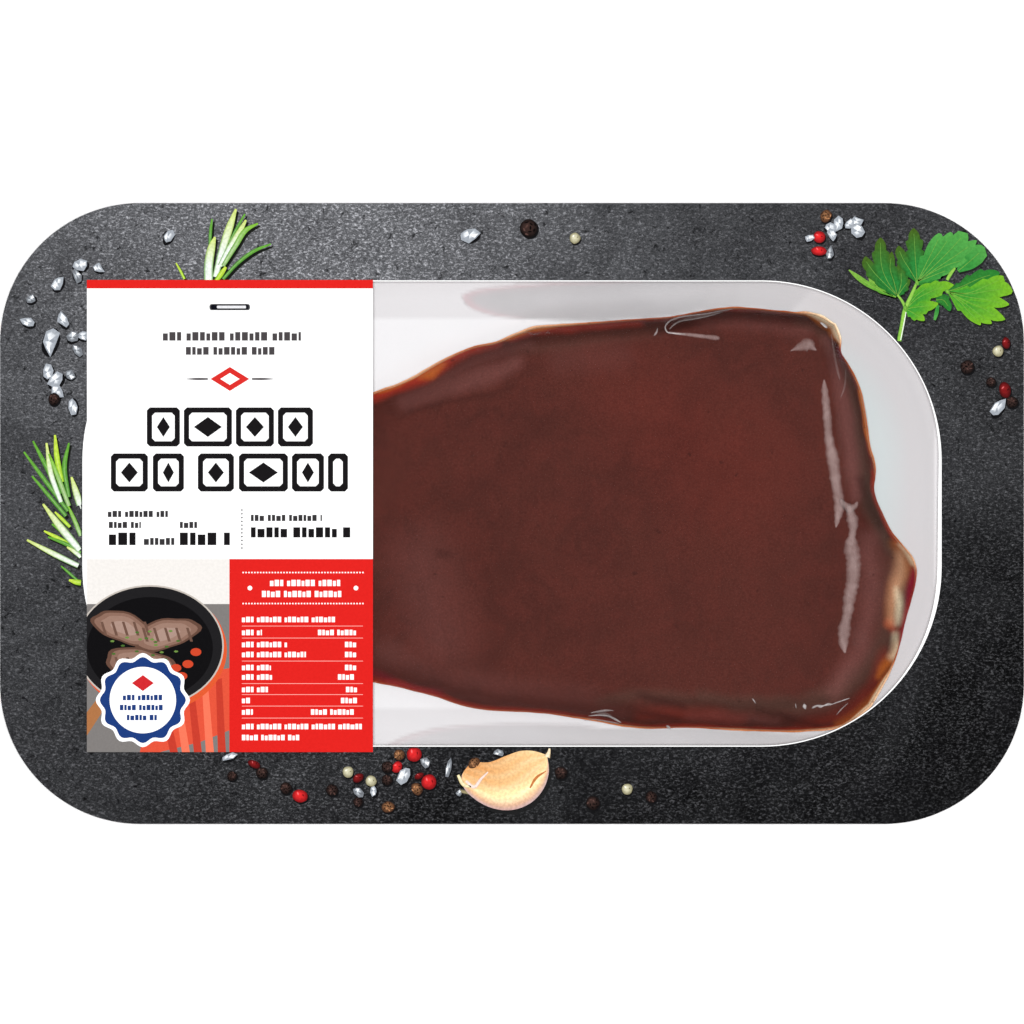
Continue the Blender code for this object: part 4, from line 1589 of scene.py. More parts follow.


# Each streak of painted highlight, with its share of painted glare, white, rise, soft edge and raggedness
PAINTED_GLARE_MARKS = (
    PaintedGlareMark(((824, 379, 1.0), (824.5, 388, 3.6), (826, 404, 4.6), (827.5, 421, 5.0), (828.5, 436, 4.6),
              (831, 450, 6.4), (833.5, 463, 7.0), (835.5, 480, 6.2), (838, 495, 5.8), (839.2, 505, 6.0),
              (838.6, 513, 5.2), (837, 521, 3.4), (835.8, 528, 0.8)), 0.8),
    PaintedGlareMark(((840, 499, 1.4), (845, 505, 3.6), (850, 508, 4.6), (855, 506, 3.2), (857.6, 501, 0.8)), 0.8),
    PaintedGlareMark(((848.5, 505, 1.2), (850.5, 513, 5.0), (852.6, 521, 6.4), (853, 529, 4.8), (851.8, 537, 4.7),
              (851.3, 543, 6.8), (851.8, 550, 8.6), (853.3, 558, 8.6), (853.3, 570, 8.0), (852.5, 583, 7.5),
              (850.5, 592, 7.3), (849, 601, 6.6), (847.8, 611, 6.0), (846.4, 619, 6.2), (845, 625, 7.0),
              (844, 634, 6.8), (843.4, 642, 6.2), (844, 648, 3.6), (845.3, 653.5, 0.8)), 0.82),
    PaintedGlareMark(((790, 351.2, 0.5), (796, 348.5, 2.6), (801, 346.5, 5.2), (806, 345, 7.4), (810, 345.5, 6.6),
              (813, 348, 3.0), (817, 350.6, 0.6)), 0.62),
    PaintedGlareMark(((668, 332, 0.8), (676, 333.4, 1.4), (688, 334.6, 2.0), (702, 336.2, 2.4), (714, 337.6, 2.8),
              (720, 338.4, 1.6)), 0.72),
    PaintedGlareMark(((672, 325, 1.0), (680, 321, 1.8), (692, 318, 2.2), (708, 315, 2.0), (722, 311.6, 1.3),
              (731, 309.4, 0.5)), 0.38),
    PaintedGlareMark(((734, 308.8, 0.4), (722, 310.6, 0.7), (707, 313.6, 0.8), (692, 315.4, 0.8), (677, 318, 0.9),
              (669, 321.6, 0.9), (665.2, 327, 0.9), (667, 331.8, 0.9), (674, 333.4, 0.8), (686, 334.2, 0.5)),
             0.75, 0.6, 0.00012, 0.6),
    PaintedGlareMark(((669, 329.5, 0.5), (673, 325.5, 0.8), (679, 321.8, 0.9), (692, 319.4, 0.8), (707, 316.4, 0.7),
              (722, 312.2, 0.4)), 0.5, 0.4, 0.00008, 0.6),
    PaintedGlareMark(((657.5, 327, 0.4), (657, 331, 0.9), (655, 334.5, 1.1),
              (653.5, 336, 0.5)), 0.6, 0.4, 0.0001, 0.6),
    PaintedGlareMark(((820, 322, 0.9), (823, 324.2, 1.5), (827.5, 328.2, 0.9)), 1.0, 1.0, 0.00012, 0.5),
    PaintedGlareMark(((831, 333, 0.6), (833, 345, 1.4), (835, 357, 1.6), (837, 368, 1.6), (840, 380, 1.0)), 0.36),
    PaintedGlareMark(((846, 368, 0.5), (845.5, 378, 1.1), (844, 389, 1.3), (840.5, 398, 0.5)), 0.3),
    PaintedGlareMark(((862, 392, 0.5), (864, 404, 1.2), (867, 420, 1.2), (869, 434, 0.4)), 0.24),
    PaintedGlareMark(((590, 713, 0.4), (598, 711.6, 1.1), (607, 710.4, 1.2),
              (614, 710.6, 0.5)), 0.6, 0.5, 0.0001, 0.6),
    PaintedGlareMark(((588, 716, 0.4), (600, 715.2, 1.0), (609, 716.4, 1.1), (615, 719.2, 1.2), (621.5, 723, 0.7)),
             0.85, 0.7, 0.00012, 0.6),
    PaintedGlareMark(((583, 720.4, 0.4), (594, 719.6, 0.8), (606, 721.2, 1.0), (616, 723, 0.8), (620, 723.6, 0.4)),
             0.6, 0.5, 0.0001, 0.6),
    PaintedGlareMark(((596, 713, 0.6), (606, 714, 1.8), (612, 716, 1.0)), 0.35, 0.2),
    PaintedGlareMark(((666, 725.4, 0.6), (668.4, 727.2, 1.6), (671, 729, 0.8)), 1.0, 1.0, 0.0001, 0.5),
    PaintedGlareMark(((752, 698, 0.4), (754.5, 701.5, 0.8), (756, 704, 0.4)), 0.5, 0.6, 0.00008, 0.6),
    PaintedGlareMark(((795.4, 703, 0.3), (795.8, 706, 0.7), (796.4, 709, 0.3)), 0.5, 0.7, 0.00008, 0.6),
    PaintedGlareMark(((804, 703.4, 0.5), (804.6, 706.6, 2.0), (805.6, 709.6, 0.8)), 0.8, 0.8, 0.0001, 0.7, 0.6),
    PaintedGlareMark(((811.6, 708.4, 0.7), (814, 707, 1.5), (817.4, 705.8, 1.0), (820.4, 706.4, 1.7),
              (824, 705.6, 1.2), (828, 704.4, 1.8), (832, 704.2, 0.9), (836, 702.8, 0.8),
              (843, 700.4, 0.9), (850, 698, 0.4)), 0.8, 0.8, 0.0001, 0.8, 0.7),
    PaintedGlareMark(((836, 715.4, 0.4), (841, 709.6, 0.7), (848.5, 702.6, 0.4)), 0.5, 0.5, 0.0001, 0.6),
    PaintedGlareMark(((521, 333.4, 0.3), (528, 332.6, 0.7), (535, 334.4, 0.9),
              (541, 332.4, 0.4)), 0.2, 0.6, 0.0001, 0.6),
    PaintedGlareMark(((545, 334.6, 0.3), (548, 332.2, 0.8), (551, 334.4, 0.3)), 0.2, 0.6, 0.0001, 0.6),
)


@dataclass
class PaintedGlareMarks:
    """The film's painted highlights, glare and creases, each a thin raised strip laid on the drawn sheet."""

    above: float = 0.00009
    thickness: float = 0.00003
    lanes: int = 9

    def build(self, drawn: DrawnSheet, finish: Material) -> Piece:
        """Makes every mark as one thin piece.

        Args:
            drawn: The film's heights.
            finish: Its material.

        Returns:
            The piece.
        """
        points, faces, shines, whites = [], [], [], []
        spread = np.linspace(-1, 1, self.lanes)
        for mark in PAINTED_GLARE_MARKS:
            placed = sheet_line(mark.points)
            length = sum(math.dist(a[:2], b[:2]) for a, b in zip(placed, placed[1:]))
            steps = max(12, int(length / 0.22))
            shares = np.linspace(0, 1, steps + 1)
            curve = smooth_along(placed, shares)
            ragged = 1 + mark.ragged * field_noise(curve[:, 0] * MM, curve[:, 1] * MM, 0.0011, 3.3)
            half = np.maximum(curve[:, 2], 0.05) * ragged
            side = sideways(np.gradient(curve[:, :2], axis=0)) * half[:, None]
            faces += quads(steps + 1, self.lanes, len(points))
            ends = np.clip(np.minimum(shares, 1 - shares) * length / 0.5, 0, 1)
            for i in range(steps + 1):
                for lane in spread:
                    x, y = (curve[i, :2] + side[i] * lane) * MM
                    px, py, pz = drawn.under(x, y)
                    points.append((px, py, pz + self.above + mark.rise * (1 - lane * lane) * ends[i]))
                    edge = min(1.0, (1 - abs(lane)) / mark.edge)
                    shines.append(mark.painted_glare * edge * ends[i])
                    whites.append(mark.white)
        piece = mesh_piece("painted_film_highlights", points, faces, finish, 70)
        write_attribute(piece, "painted_glare", np.array(shines))
        write_attribute(piece, "white", np.array(whites))
        thicken(piece, self.thickness)
        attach(piece, BODY)
        return piece


# Card, print and label


class PrintRun:
    """Ink shapes gathered into one mesh: each is a thin closed plate that lies on a sheet."""

    LAYER = 0.000005

    def __init__(self, name: str, surface: float, keep: Callable[[float, float], bool] | None = None) -> None:
        """Starts an empty run.

        Args:
            name: The piece's name.
            surface: Height of the sheet that it lies on.
            keep: Whether a place may be printed, or None for all.
        """
        self.name = name
        self.surface = surface
        self.keep = keep
        self.points: list[Place] = []
        self.inks: list[Colour] = []
        self.faces: list[tuple[int, ...]] = []

    def _plate(
        self, top: Sequence[Point], inks: Sequence[Colour], faces: Sequence[Sequence[int]],
        rim: Sequence[int], layer: int,
    ) -> None:
        """Adds one closed plate.

        Args:
            top: Its top points in millimetres.
            inks: A colour for each.
            faces: The top's faces.
            rim: The points round its outline, in order.
            layer: How many ink layers above the sheet its top is.
        """
        base = len(self.points)
        height = self.surface + self.LAYER * (layer + 1)
        self.points += [(x * MM, y * MM, height) for x, y in top]
        self.inks += list(inks)
        self.faces += [tuple(base + i for i in face) for face in faces]
        low = len(self.points)
        self.points += [(top[i][0] * MM, top[i][1] * MM, self.surface - 0.00001) for i in rim]
        self.inks += [inks[i] for i in rim]
        count = len(rim)
        for k, n in zip(range(count), [*range(1, count), 0]):
            self.faces.append((base + rim[k], low + k, low + n, base + rim[n]))
        self.faces.append(tuple(low + k for k in reversed(range(count))))

    def _kept(self, centre: Point, point: Point) -> Point:
        """The point, drawn back towards the centre until it may be printed."""
        if self.keep is None:
            return point
        for step in range(41):
            share = 1 - step / 40
            x = centre[0] + (point[0] - centre[0]) * share
            y = centre[1] + (point[1] - centre[1]) * share
            if self.keep(x, y):
                return (x, y)
        return centre

    def blot(
        self, centre: Point, outline: Sequence[Point], middle: Colour, edge: Colour, layer: int = 0,
        rings: Sequence[Point] = (),
    ) -> None:
        """A shape shaded from its middle to its edge.

        Args:
            centre: Its middle in millimetres.
            outline: Its outline in millimetres, seen whole from the middle.
            middle: The colour at its middle.
            edge: The colour at its edge.
            layer: Its ink layer.
            rings: Shares of the way out, each with the share of the edge's colour there.
        """
        outline = [self._kept(centre, point) for point in outline]
        count = len(outline)
        steps = [*rings, (1.0, 1.0)]
        top, inks, faces = [centre], [middle], []
        for out, share in steps:
            for x, y in outline:
                top.append((centre[0] + (x - centre[0]) * out, centre[1] + (y - centre[1]) * out))
                inks.append(tuple(a + (b - a) * share for a, b in zip(middle, edge)))
        for i in range(count):
            j = (i + 1) % count
            faces.append((0, 1 + i, 1 + j))
            for k in range(len(steps) - 1):
                a, b = 1 + k * count, 1 + (k + 1) * count
                faces.append((a + i, b + i, b + j, a + j))
        self._plate(top, inks, faces, [1 + (len(steps) - 1) * count + i for i in range(count)], layer)

    def flat(self, outline: Sequence[Point], ink: Colour, layer: int = 0) -> None:
        """A shape of one colour."""
        if len(outline) >= 3:
            indices = list(range(len(outline)))
            self._plate(outline, [ink] * len(outline), [indices], indices, layer)

    def cut(self, shape: Iterable[Point], ink: Colour, layer: int = 0) -> None:
        """A shape of one colour whose points are sheet places."""
        self.flat([on_sheet(px, py) for px, py in shape], ink, layer)

    def box(self, x0: float, y0: float, x1: float, y1: float, ink: Colour, layer: int = 0) -> None:
        """A rectangle between two corners on the drawing sheet."""
        self.cut(((x0, y1), (x1, y1), (x1, y0), (x0, y0)), ink, layer)

    def weave(self, top: Sequence[Point], inks: Sequence[Colour], columns: int, layer: int) -> None:
        """Adds a plate whose top is a grid.

        Args:
            top: Its points in millimetres, row by row.
            inks: A colour for each.
            columns: The points in a row.
            layer: Its ink layer.
        """
        last = len(top)
        rim = [*range(columns), *range(2 * columns - 1, last, columns)]
        rim += [*range(last - 2, last - columns - 1, -1), *range(last - 2 * columns, 0, -columns)]
        self._plate(top, inks, quads(last // columns, columns), rim, layer)

    def ribbon(
        self, points: Sequence[Place], middle: Colour, edge: Colour, layer: int = 0,
        teeth: int = 0, tip: Colour | None = None,
    ) -> None:
        """A tapering stroke, shaded from its middle line to its edges.

        Args:
            points: Sheet x, sheet y and half width in sheet units.
            middle: The colour along its middle.
            edge: The colour at its edges.
            layer: Its ink layer.
            teeth: How many teeth each side has.
            tip: The colour that it turns to at its end, or None.
        """
        shares = np.linspace(0, 1, max(5 * (len(points) - 1), 4 * teeth) + 1)
        curve = smooth_along(sheet_line(points), shares)
        if self.keep is not None:
            kept = [k for k, row in enumerate(curve) if self.keep(row[0], row[1])]
            if len(kept) < 3:
                return
            curve, shares = curve[kept], shares[kept]
        half = np.maximum(curve[:, 2:3], 0.02)
        if teeth:
            half = half * (0.74 + 0.42 * (shares * teeth % 1.0))[:, None]
        side = sideways(np.gradient(curve[:, :2], axis=0)) * half
        top, inks = [], []
        for lane, ink in ((1.0, edge), (0.5, middle), (0.0, middle), (-0.5, middle), (-1.0, edge)):
            for spot, reach, share in zip(curve[:, :2], side, shares):
                top.append(self._kept(tuple(spot), tuple(spot + reach * lane)))
                far = 0.0 if tip is None else max(0.0, share - 0.35) / 0.65
                inks.append(tuple(a + (b - a) * far for a, b in zip(ink, tip or ink)))
        self.weave(top, inks, len(curve), layer)

    def build(self, finish: Material) -> Piece:
        """Makes the run's one mesh.

        Args:
            finish: Its ink.

        Returns:
            The piece.
        """
        piece = mesh_piece(self.name, self.points, self.faces, finish)
        inks = piece.data.color_attributes.new("ink", "FLOAT_COLOR", "POINT")
        inks.data.foreach_set("color", np.array(self.inks, np.float32).ravel())
        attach(piece, BODY)
        return piece


def oval(px: float, py: float, rx: float, ry: float, count: int) -> list[Point]:
    """An oval outline of this many points round a place."""
    turns = [2 * math.pi * k / count for k in range(count)]
    return [(px + rx * math.cos(turn), py + ry * math.sin(turn)) for turn in turns]


def turned(shape: Iterable[Point], turn: float, px: float, py: float) -> list[Point]:
    """A shape turned by an angle and moved to a place."""
    c, s = math.cos(turn), math.sin(turn)
    return [(px + a * c - b * s, py + a * s + b * c) for a, b in shape]


def pebble(
    centre: Point, radius: float, seed: float, rough: float, stretch: float = 1.0, sides: int = 16
) -> list[Point]:
    """An uneven round outline.

    Args:
        centre: Its middle in millimetres.
        radius: Its mean radius in millimetres.
        seed: Which outline it is.
        rough: How uneven it is.
        stretch: Length over width.
        sides: Its points.

    Returns:
        The outline.
    """
    points = []
    for angle in (2 * math.pi * i / sides for i in range(sides)):
        swing = noise.noise(Vector((math.cos(angle) * 1.3, math.sin(angle) * 1.3, seed * 3.7)))
        reach = radius * (1 + rough * swing)
        points.append((reach * stretch * math.cos(angle), reach / stretch * math.sin(angle)))
    return turned(points, seed * 2.4, *centre)


class Spice(Enum):
    """The spices in the card's print, each with its light and its dark colour."""

    BLACK = ((62, 44, 40), (18, 14, 14))
    BROWN = ((140, 98, 66), (62, 38, 26))
    RED = ((226, 42, 44), (118, 14, 18))
    DEEP_RED = ((132, 24, 26), (60, 10, 12))
    WHITE = ((214, 210, 180), (128, 122, 92))
    SALT = ((228, 232, 236), (150, 156, 164))
    PALE_SALT = ((186, 192, 198), (110, 114, 120))


class Needle(Enum):
    """How a rosemary needle looks: its middle, its edge and its tip."""

    GREEN = ((92, 150, 62), (44, 100, 30), (96, 160, 50))
    WHITE = ((222, 232, 220), (84, 140, 30), (196, 212, 110))
    GREY = ((150, 184, 120), (70, 128, 34), (120, 180, 40))
    YELLOW = ((170, 206, 60), (96, 150, 26), (190, 214, 70))

    def rib(self) -> Colour:
        """The pale colour of its middle rib."""
        return srgb(*(value + (235 - value) * 0.25 for value in self.value[0]))


class Lobe(Enum):
    """How a parsley lobe looks: its root, its edge and its tip."""

    OLIVE = ((38, 122, 52), (34, 98, 36), (66, 92, 26))
    DEEP = ((44, 118, 44), (36, 98, 38), (40, 120, 44))
    MIDDLE = ((50, 134, 56), (54, 136, 56), (80, 156, 70))
    BRIGHT = ((58, 142, 46), (88, 158, 38), (116, 174, 36))
    YELLOW = ((96, 158, 54), (82, 140, 44), (122, 166, 66))


# Spice, sheet x, sheet y, radius in sheet units, stretch
SPICES = (
    (Spice.SALT, 168, 237, 6, 1.3), (Spice.SALT, 80, 265, 7, 1.2), (Spice.SALT, 98, 268, 5, 1.2),
    (Spice.PALE_SALT, 77, 275, 6, 1.2), (Spice.SALT, 58, 283, 7, 1.2), (Spice.PALE_SALT, 31, 299, 5, 1.1),
    (Spice.SALT, 28, 322, 6, 1.2), (Spice.SALT, 63, 321, 6, 1.3), (Spice.SALT, 50, 341, 11, 1.3),
    (Spice.PALE_SALT, 73, 337, 6, 1.2), (Spice.SALT, 83, 336, 5, 1.1), (Spice.PALE_SALT, 77, 350, 5, 1.3),
    (Spice.SALT, 48, 372, 7, 1.2), (Spice.SALT, 56, 380, 8, 1.2), (Spice.PALE_SALT, 70, 375, 5, 1.1),
    (Spice.SALT, 57, 391, 6, 1.2), (Spice.SALT, 73, 406, 7, 1.3), (Spice.BLACK, 54, 399, 6, 1.0),
    (Spice.SALT, 470, 235, 8, 1.2), (Spice.BLACK, 529, 228, 9, 1.0), (Spice.WHITE, 575, 238, 5.5, 1.0),
    (Spice.BROWN, 826, 216, 6, 1.1), (Spice.SALT, 809, 238, 4, 1.2), (Spice.SALT, 830, 228, 6, 1.2),
    (Spice.SALT, 832, 235, 5, 1.3), (Spice.SALT, 839, 223, 6, 1.1), (Spice.SALT, 849, 224, 5, 1.2),
    (Spice.SALT, 857, 221, 6, 1.1), (Spice.SALT, 858, 231, 7, 1.1), (Spice.PALE_SALT, 830, 253, 5, 1.3),
    (Spice.RED, 819, 237, 6, 1.0), (Spice.RED, 819, 251, 6, 1.3), (Spice.WHITE, 998, 351, 5.5, 1.0),
    (Spice.DEEP_RED, 1006, 343, 5, 1.2), (Spice.BLACK, 967, 367, 7, 1.0), (Spice.BLACK, 991, 382, 5, 1.0),
    (Spice.BLACK, 1012, 402, 6, 1.0), (Spice.DEEP_RED, 1005, 390, 7, 1.2), (Spice.SALT, 998, 407, 8, 1.4),
    (Spice.SALT, 229, 757, 5, 1.4), (Spice.DEEP_RED, 254, 764, 5, 1.3), (Spice.BLACK, 232, 776, 5, 1.0),
    (Spice.BLACK, 262, 773, 6, 1.0), (Spice.BLACK, 286, 788, 6, 1.0), (Spice.RED, 300, 796, 7, 1.1),
    (Spice.BLACK, 332, 790, 6, 1.0), (Spice.WHITE, 348, 772, 5.5, 1.0), (Spice.DEEP_RED, 358, 778, 5, 1.2),
    (Spice.WHITE, 371, 781, 5.5, 1.0), (Spice.PALE_SALT, 358, 792, 5, 1.3), (Spice.SALT, 374, 791, 5, 1.2),
    (Spice.BLACK, 358, 802, 5, 1.0), (Spice.BROWN, 388, 807, 6, 1.1), (Spice.BLACK, 387, 767, 6, 1.0),
    (Spice.BLACK, 387, 780, 5.5, 1.0), (Spice.RED, 397, 767, 5.5, 1.1), (Spice.BROWN, 399, 755, 5.5, 1.0),
    (Spice.RED, 414, 754, 7.5, 1.0), (Spice.PALE_SALT, 425, 762, 5, 1.2), (Spice.SALT, 405, 775, 8, 1.3),
    (Spice.DEEP_RED, 419, 776, 4, 1.3), (Spice.RED, 429, 782, 7.5, 1.0), (Spice.BROWN, 417, 789, 6, 1.1),
    (Spice.PALE_SALT, 449, 767, 5, 1.8), (Spice.BROWN, 474, 763, 5.5, 1.2),
     (Spice.PALE_SALT, 499, 753, 4.5, 1.3),
    (Spice.PALE_SALT, 459, 793, 3.5, 1.0), (Spice.BLACK, 561, 773, 6.5, 1.0), (Spice.BLACK, 593, 803, 7, 1.0),
    (Spice.WHITE, 627, 789, 5.5, 1.0), (Spice.BLACK, 651, 797, 6, 1.0),
)


# How a needle looks, then its sheet x, sheet y and half width from its root to its tip
ROSEMARY = (
    (Needle.GREEN, (210, 245, 1.6), (210.5, 232, 1.6), (212, 219, 0.8)),
    (Needle.GREEN, (229, 243, 1.4), (237, 228, 1.5), (245, 214, 0.8)),
    (Needle.GREEN, (223, 279, 1.6), (239, 262, 1.8), (254, 251, 1.7), (271, 244, 0.8)),
    (Needle.WHITE, (208.5, 281, 4.4), (209, 262, 4.4), (212, 246, 3.4), (215, 237, 1.0)),
    (Needle.WHITE, (215.5, 277, 3.0), (222, 251, 3.6), (230, 226, 3.6), (236, 209, 1.0)),
    (Needle.WHITE, (220, 266, 2.4), (229, 250, 3.4), (239, 233, 3.0), (246, 220, 1.0)),
    (Needle.GREY, (223, 266, 2.0), (236, 245, 2.6), (246, 230, 2.4), (258, 223.5, 0.8)),
    (Needle.YELLOW, (216, 281, 2.0), (221, 274, 2.6), (226, 267, 1.2)),
    (Needle.YELLOW, (184.5, 279, 1.3), (180, 270, 1.2), (176, 263, 0.6)),
    (Needle.GREEN, (68, 511, 2.0), (47, 483, 2.2), (24, 452, 0.9)),
    (Needle.GREEN, (66, 516, 2.0), (50, 497, 2.0), (32, 476, 0.9)),
    (Needle.GREEN, (69, 497, 1.8), (64.5, 465, 2.4), (69, 443, 0.9)),
    (Needle.GREEN, (60, 494, 2.2), (46, 466, 2.4), (33, 441, 0.9)),
    (Needle.YELLOW, (62, 482, 2.4), (57, 458, 2.8), (55, 435, 1.0)),
    (Needle.WHITE, (61, 502, 2.2), (51, 474, 2.8), (46.5, 443, 1.0)),
    (Needle.GREY, (69, 506, 2.2), (58, 477, 2.4), (49, 454, 1.0)),
    (Needle.GREY, (84, 544, 2.0), (74, 519, 2.0), (67, 504, 0.8)),
    (Needle.WHITE, (84, 517, 3.0), (76, 492, 3.2), (71.5, 477, 1.0)),
    (Needle.YELLOW, (71, 545, 1.8), (56, 537, 2.0), (44, 531, 0.8)),
    (Needle.GREEN, (84, 555, 2.0), (66, 544, 2.0), (48, 537, 0.8)),
    (Needle.GREEN, (74, 544, 1.8), (63, 533, 1.8), (52, 524, 0.8)),
    (Needle.YELLOW, (70, 527, 1.6), (62, 519, 1.8), (55, 512, 0.8)),
    (Needle.WHITE, (84, 560, 1.8), (75, 552, 2.2), (67, 547, 0.8)),
    (Needle.WHITE, (84, 555, 3.2), (62, 529, 3.8), (43, 504, 1.0)),
    (Needle.WHITE, (84, 568.5, 2.4), (54, 554, 2.8), (27, 540, 1.0)),
    (Needle.GREEN, (77, 580, 1.3), (68, 572, 1.3), (61, 566, 0.6)),
    (Needle.YELLOW, (84, 583, 3.0), (76, 582, 2.6), (69, 580, 1.0)),
)


# Where most lobes start: sheet x, sheet y and half width
LEFT_FORK = (897.5, 296, 1.5)
TOP_FORK = (917, 282, 1.5)
LOW_FORK = (906, 309, 1.5)
RIGHT_FORK = (947.5, 291.6, 1.0)

# How a lobe looks, its teeth, then its sheet x, sheet y and half width from its root to its tip
PARSLEY = (
    (Lobe.DEEP, 0, (918, 284, 1.5), (928, 281, 5.0), (938, 283, 2.5)),
    (Lobe.MIDDLE, 0, (958, 271, 2.0), (969, 262, 8.0), (979, 253, 9.0), (988, 250, 4.0)),
    (Lobe.DEEP, 2, (936, 300, 3.0), (943, 300, 6.0), (948, 306, 4.0), (950, 311, 0.8)),
    (Lobe.MIDDLE, 0, (938, 305, 1.4), (936.5, 313, 2.0), (934.5, 320, 1.2)),
    (Lobe.YELLOW, 2, (893, 296, 1.0), (880, 289, 3.4), (872, 281, 2.8), (868.8, 276.3, 0.6)),
    (Lobe.YELLOW, 0, (896, 297, 0.8), (880, 290, 2.4), (866, 283, 2.8), (857, 276.5, 2.4),
     (848.8, 269.9, 0.5)),
    (Lobe.OLIVE, 3, LEFT_FORK, (903, 288, 5.5), (907, 283, 3.5), (910, 279.5, 0.8)),
    (Lobe.OLIVE, 3, LEFT_FORK, (901, 284, 6.5), (901, 273, 6.0), (898.7, 262.8, 0.8)),
    (Lobe.OLIVE, 4, LEFT_FORK, (884, 283, 7.0), (872, 270, 7.5), (866.5, 262, 5.0), (865.5, 256.4, 0.8)),
    (Lobe.OLIVE, 3, LEFT_FORK, (894, 282, 7.0), (890, 268, 6.5), (891, 258, 3.8), (891.8, 251.7, 0.6)),
    (Lobe.OLIVE, 5, LEFT_FORK, (889, 284, 7.0), (882, 268, 9.5), (880.5, 252, 8.0), (880.5, 243, 5.0),
     (880.5, 237.6, 0.8)),
    (Lobe.OLIVE, 1, TOP_FORK, (920, 270, 5.0), (923, 257, 1.0)),
    (Lobe.OLIVE, 3, TOP_FORK, (910, 270, 6.5), (903, 259, 6.5), (899.5, 251, 4.5), (898.6, 245.8, 0.8)),
    (Lobe.OLIVE, 5, TOP_FORK, (916, 268, 7.5), (915, 254, 8.8), (914.5, 243, 8.8), (913.8, 234, 5.5),
     (913.4, 228.2, 0.8)),
    (Lobe.MIDDLE, 3, TOP_FORK, (932, 276, 5.0), (945, 271, 4.5), (952, 270.4, 0.8)),
    (Lobe.MIDDLE, 2, TOP_FORK, (925, 266, 7.0), (933, 250, 8.0), (938, 240, 5.5), (940, 233.5, 2.0)),
    (Lobe.MIDDLE, 2, TOP_FORK, (930, 264, 8.0), (941, 250, 9.0), (947, 241, 6.0), (951.5, 232.5, 1.8)),
    (Lobe.MIDDLE, 4, TOP_FORK, (935, 271, 7.0), (950, 264, 8.0), (960, 261, 5.0), (966.5, 260.0, 0.8)),
    (Lobe.MIDDLE, 4, TOP_FORK, (937, 268, 7.0), (955, 256, 8.0), (968, 247, 6.0), (976.5, 240.5, 0.8)),
    (Lobe.MIDDLE, 3, TOP_FORK, (936, 264, 8.0), (951, 249, 10.0), (961, 238, 8.0), (964, 228.5, 2.0)),
    (Lobe.BRIGHT, 2, (906, 309, 1.2), (916, 296, 5.0), (926, 288.5, 5.5), (936.5, 285.3, 0.8)),
    (Lobe.BRIGHT, 3, LOW_FORK, (913, 313, 6.5), (920, 317, 4.5), (924.5, 320.5, 0.8)),
    (Lobe.BRIGHT, 3, LOW_FORK, (917, 307, 8.0), (928, 306, 6.5), (938, 303.5, 1.0)),
    (Lobe.BRIGHT, 4, LOW_FORK, (918, 298, 7.0), (932, 291, 8.5), (944, 286, 6.0), (955, 286.3, 0.8)),
    (Lobe.DEEP, 4, (947.5, 291.6, 1.2), (963, 286, 6.5), (978, 279, 8.5), (990, 275, 6.5), (999.5, 273, 1.4)),
    (Lobe.BRIGHT, 2, RIGHT_FORK, (960, 302, 6.5), (969, 312, 6.5), (976, 319, 4.5), (980.5, 325, 0.8)),
    (Lobe.BRIGHT, 3, RIGHT_FORK, (963, 302, 8.0), (976, 312, 8.0), (985, 319, 5.0), (991.5, 323.5, 0.8)),
    (Lobe.BRIGHT, 3, RIGHT_FORK, (966, 301, 8.5), (984, 309, 8.5), (996, 316, 5.5), (1005, 319.5, 0.8)),
    (Lobe.BRIGHT, 3, RIGHT_FORK, (968, 297, 8.0), (988, 300, 8.5), (1000, 303, 5.0), (1009, 304.5, 0.8)),
    (Lobe.BRIGHT, 3, RIGHT_FORK, (968, 293, 6.0), (986, 286, 7.0), (999, 280, 5.0), (1007, 277.5, 0.8)),
    (Lobe.BRIGHT, 3, RIGHT_FORK, (968, 294, 8.0), (988, 291, 10.0), (1003, 289, 8.0), (1012, 292.5, 2.0)),
)


# The parsley stems
STEMS = (
    ((899, 341, 2.3), (902, 325, 2.1), (905, 309, 2.0), (911, 296, 1.9), (917, 282, 1.2)),
    ((905.5, 308, 1.5), (902, 301, 1.4), (897.5, 295, 1.0)),
    ((947, 280, 1.6), (951, 273, 1.8), (955, 268, 1.2)),
)


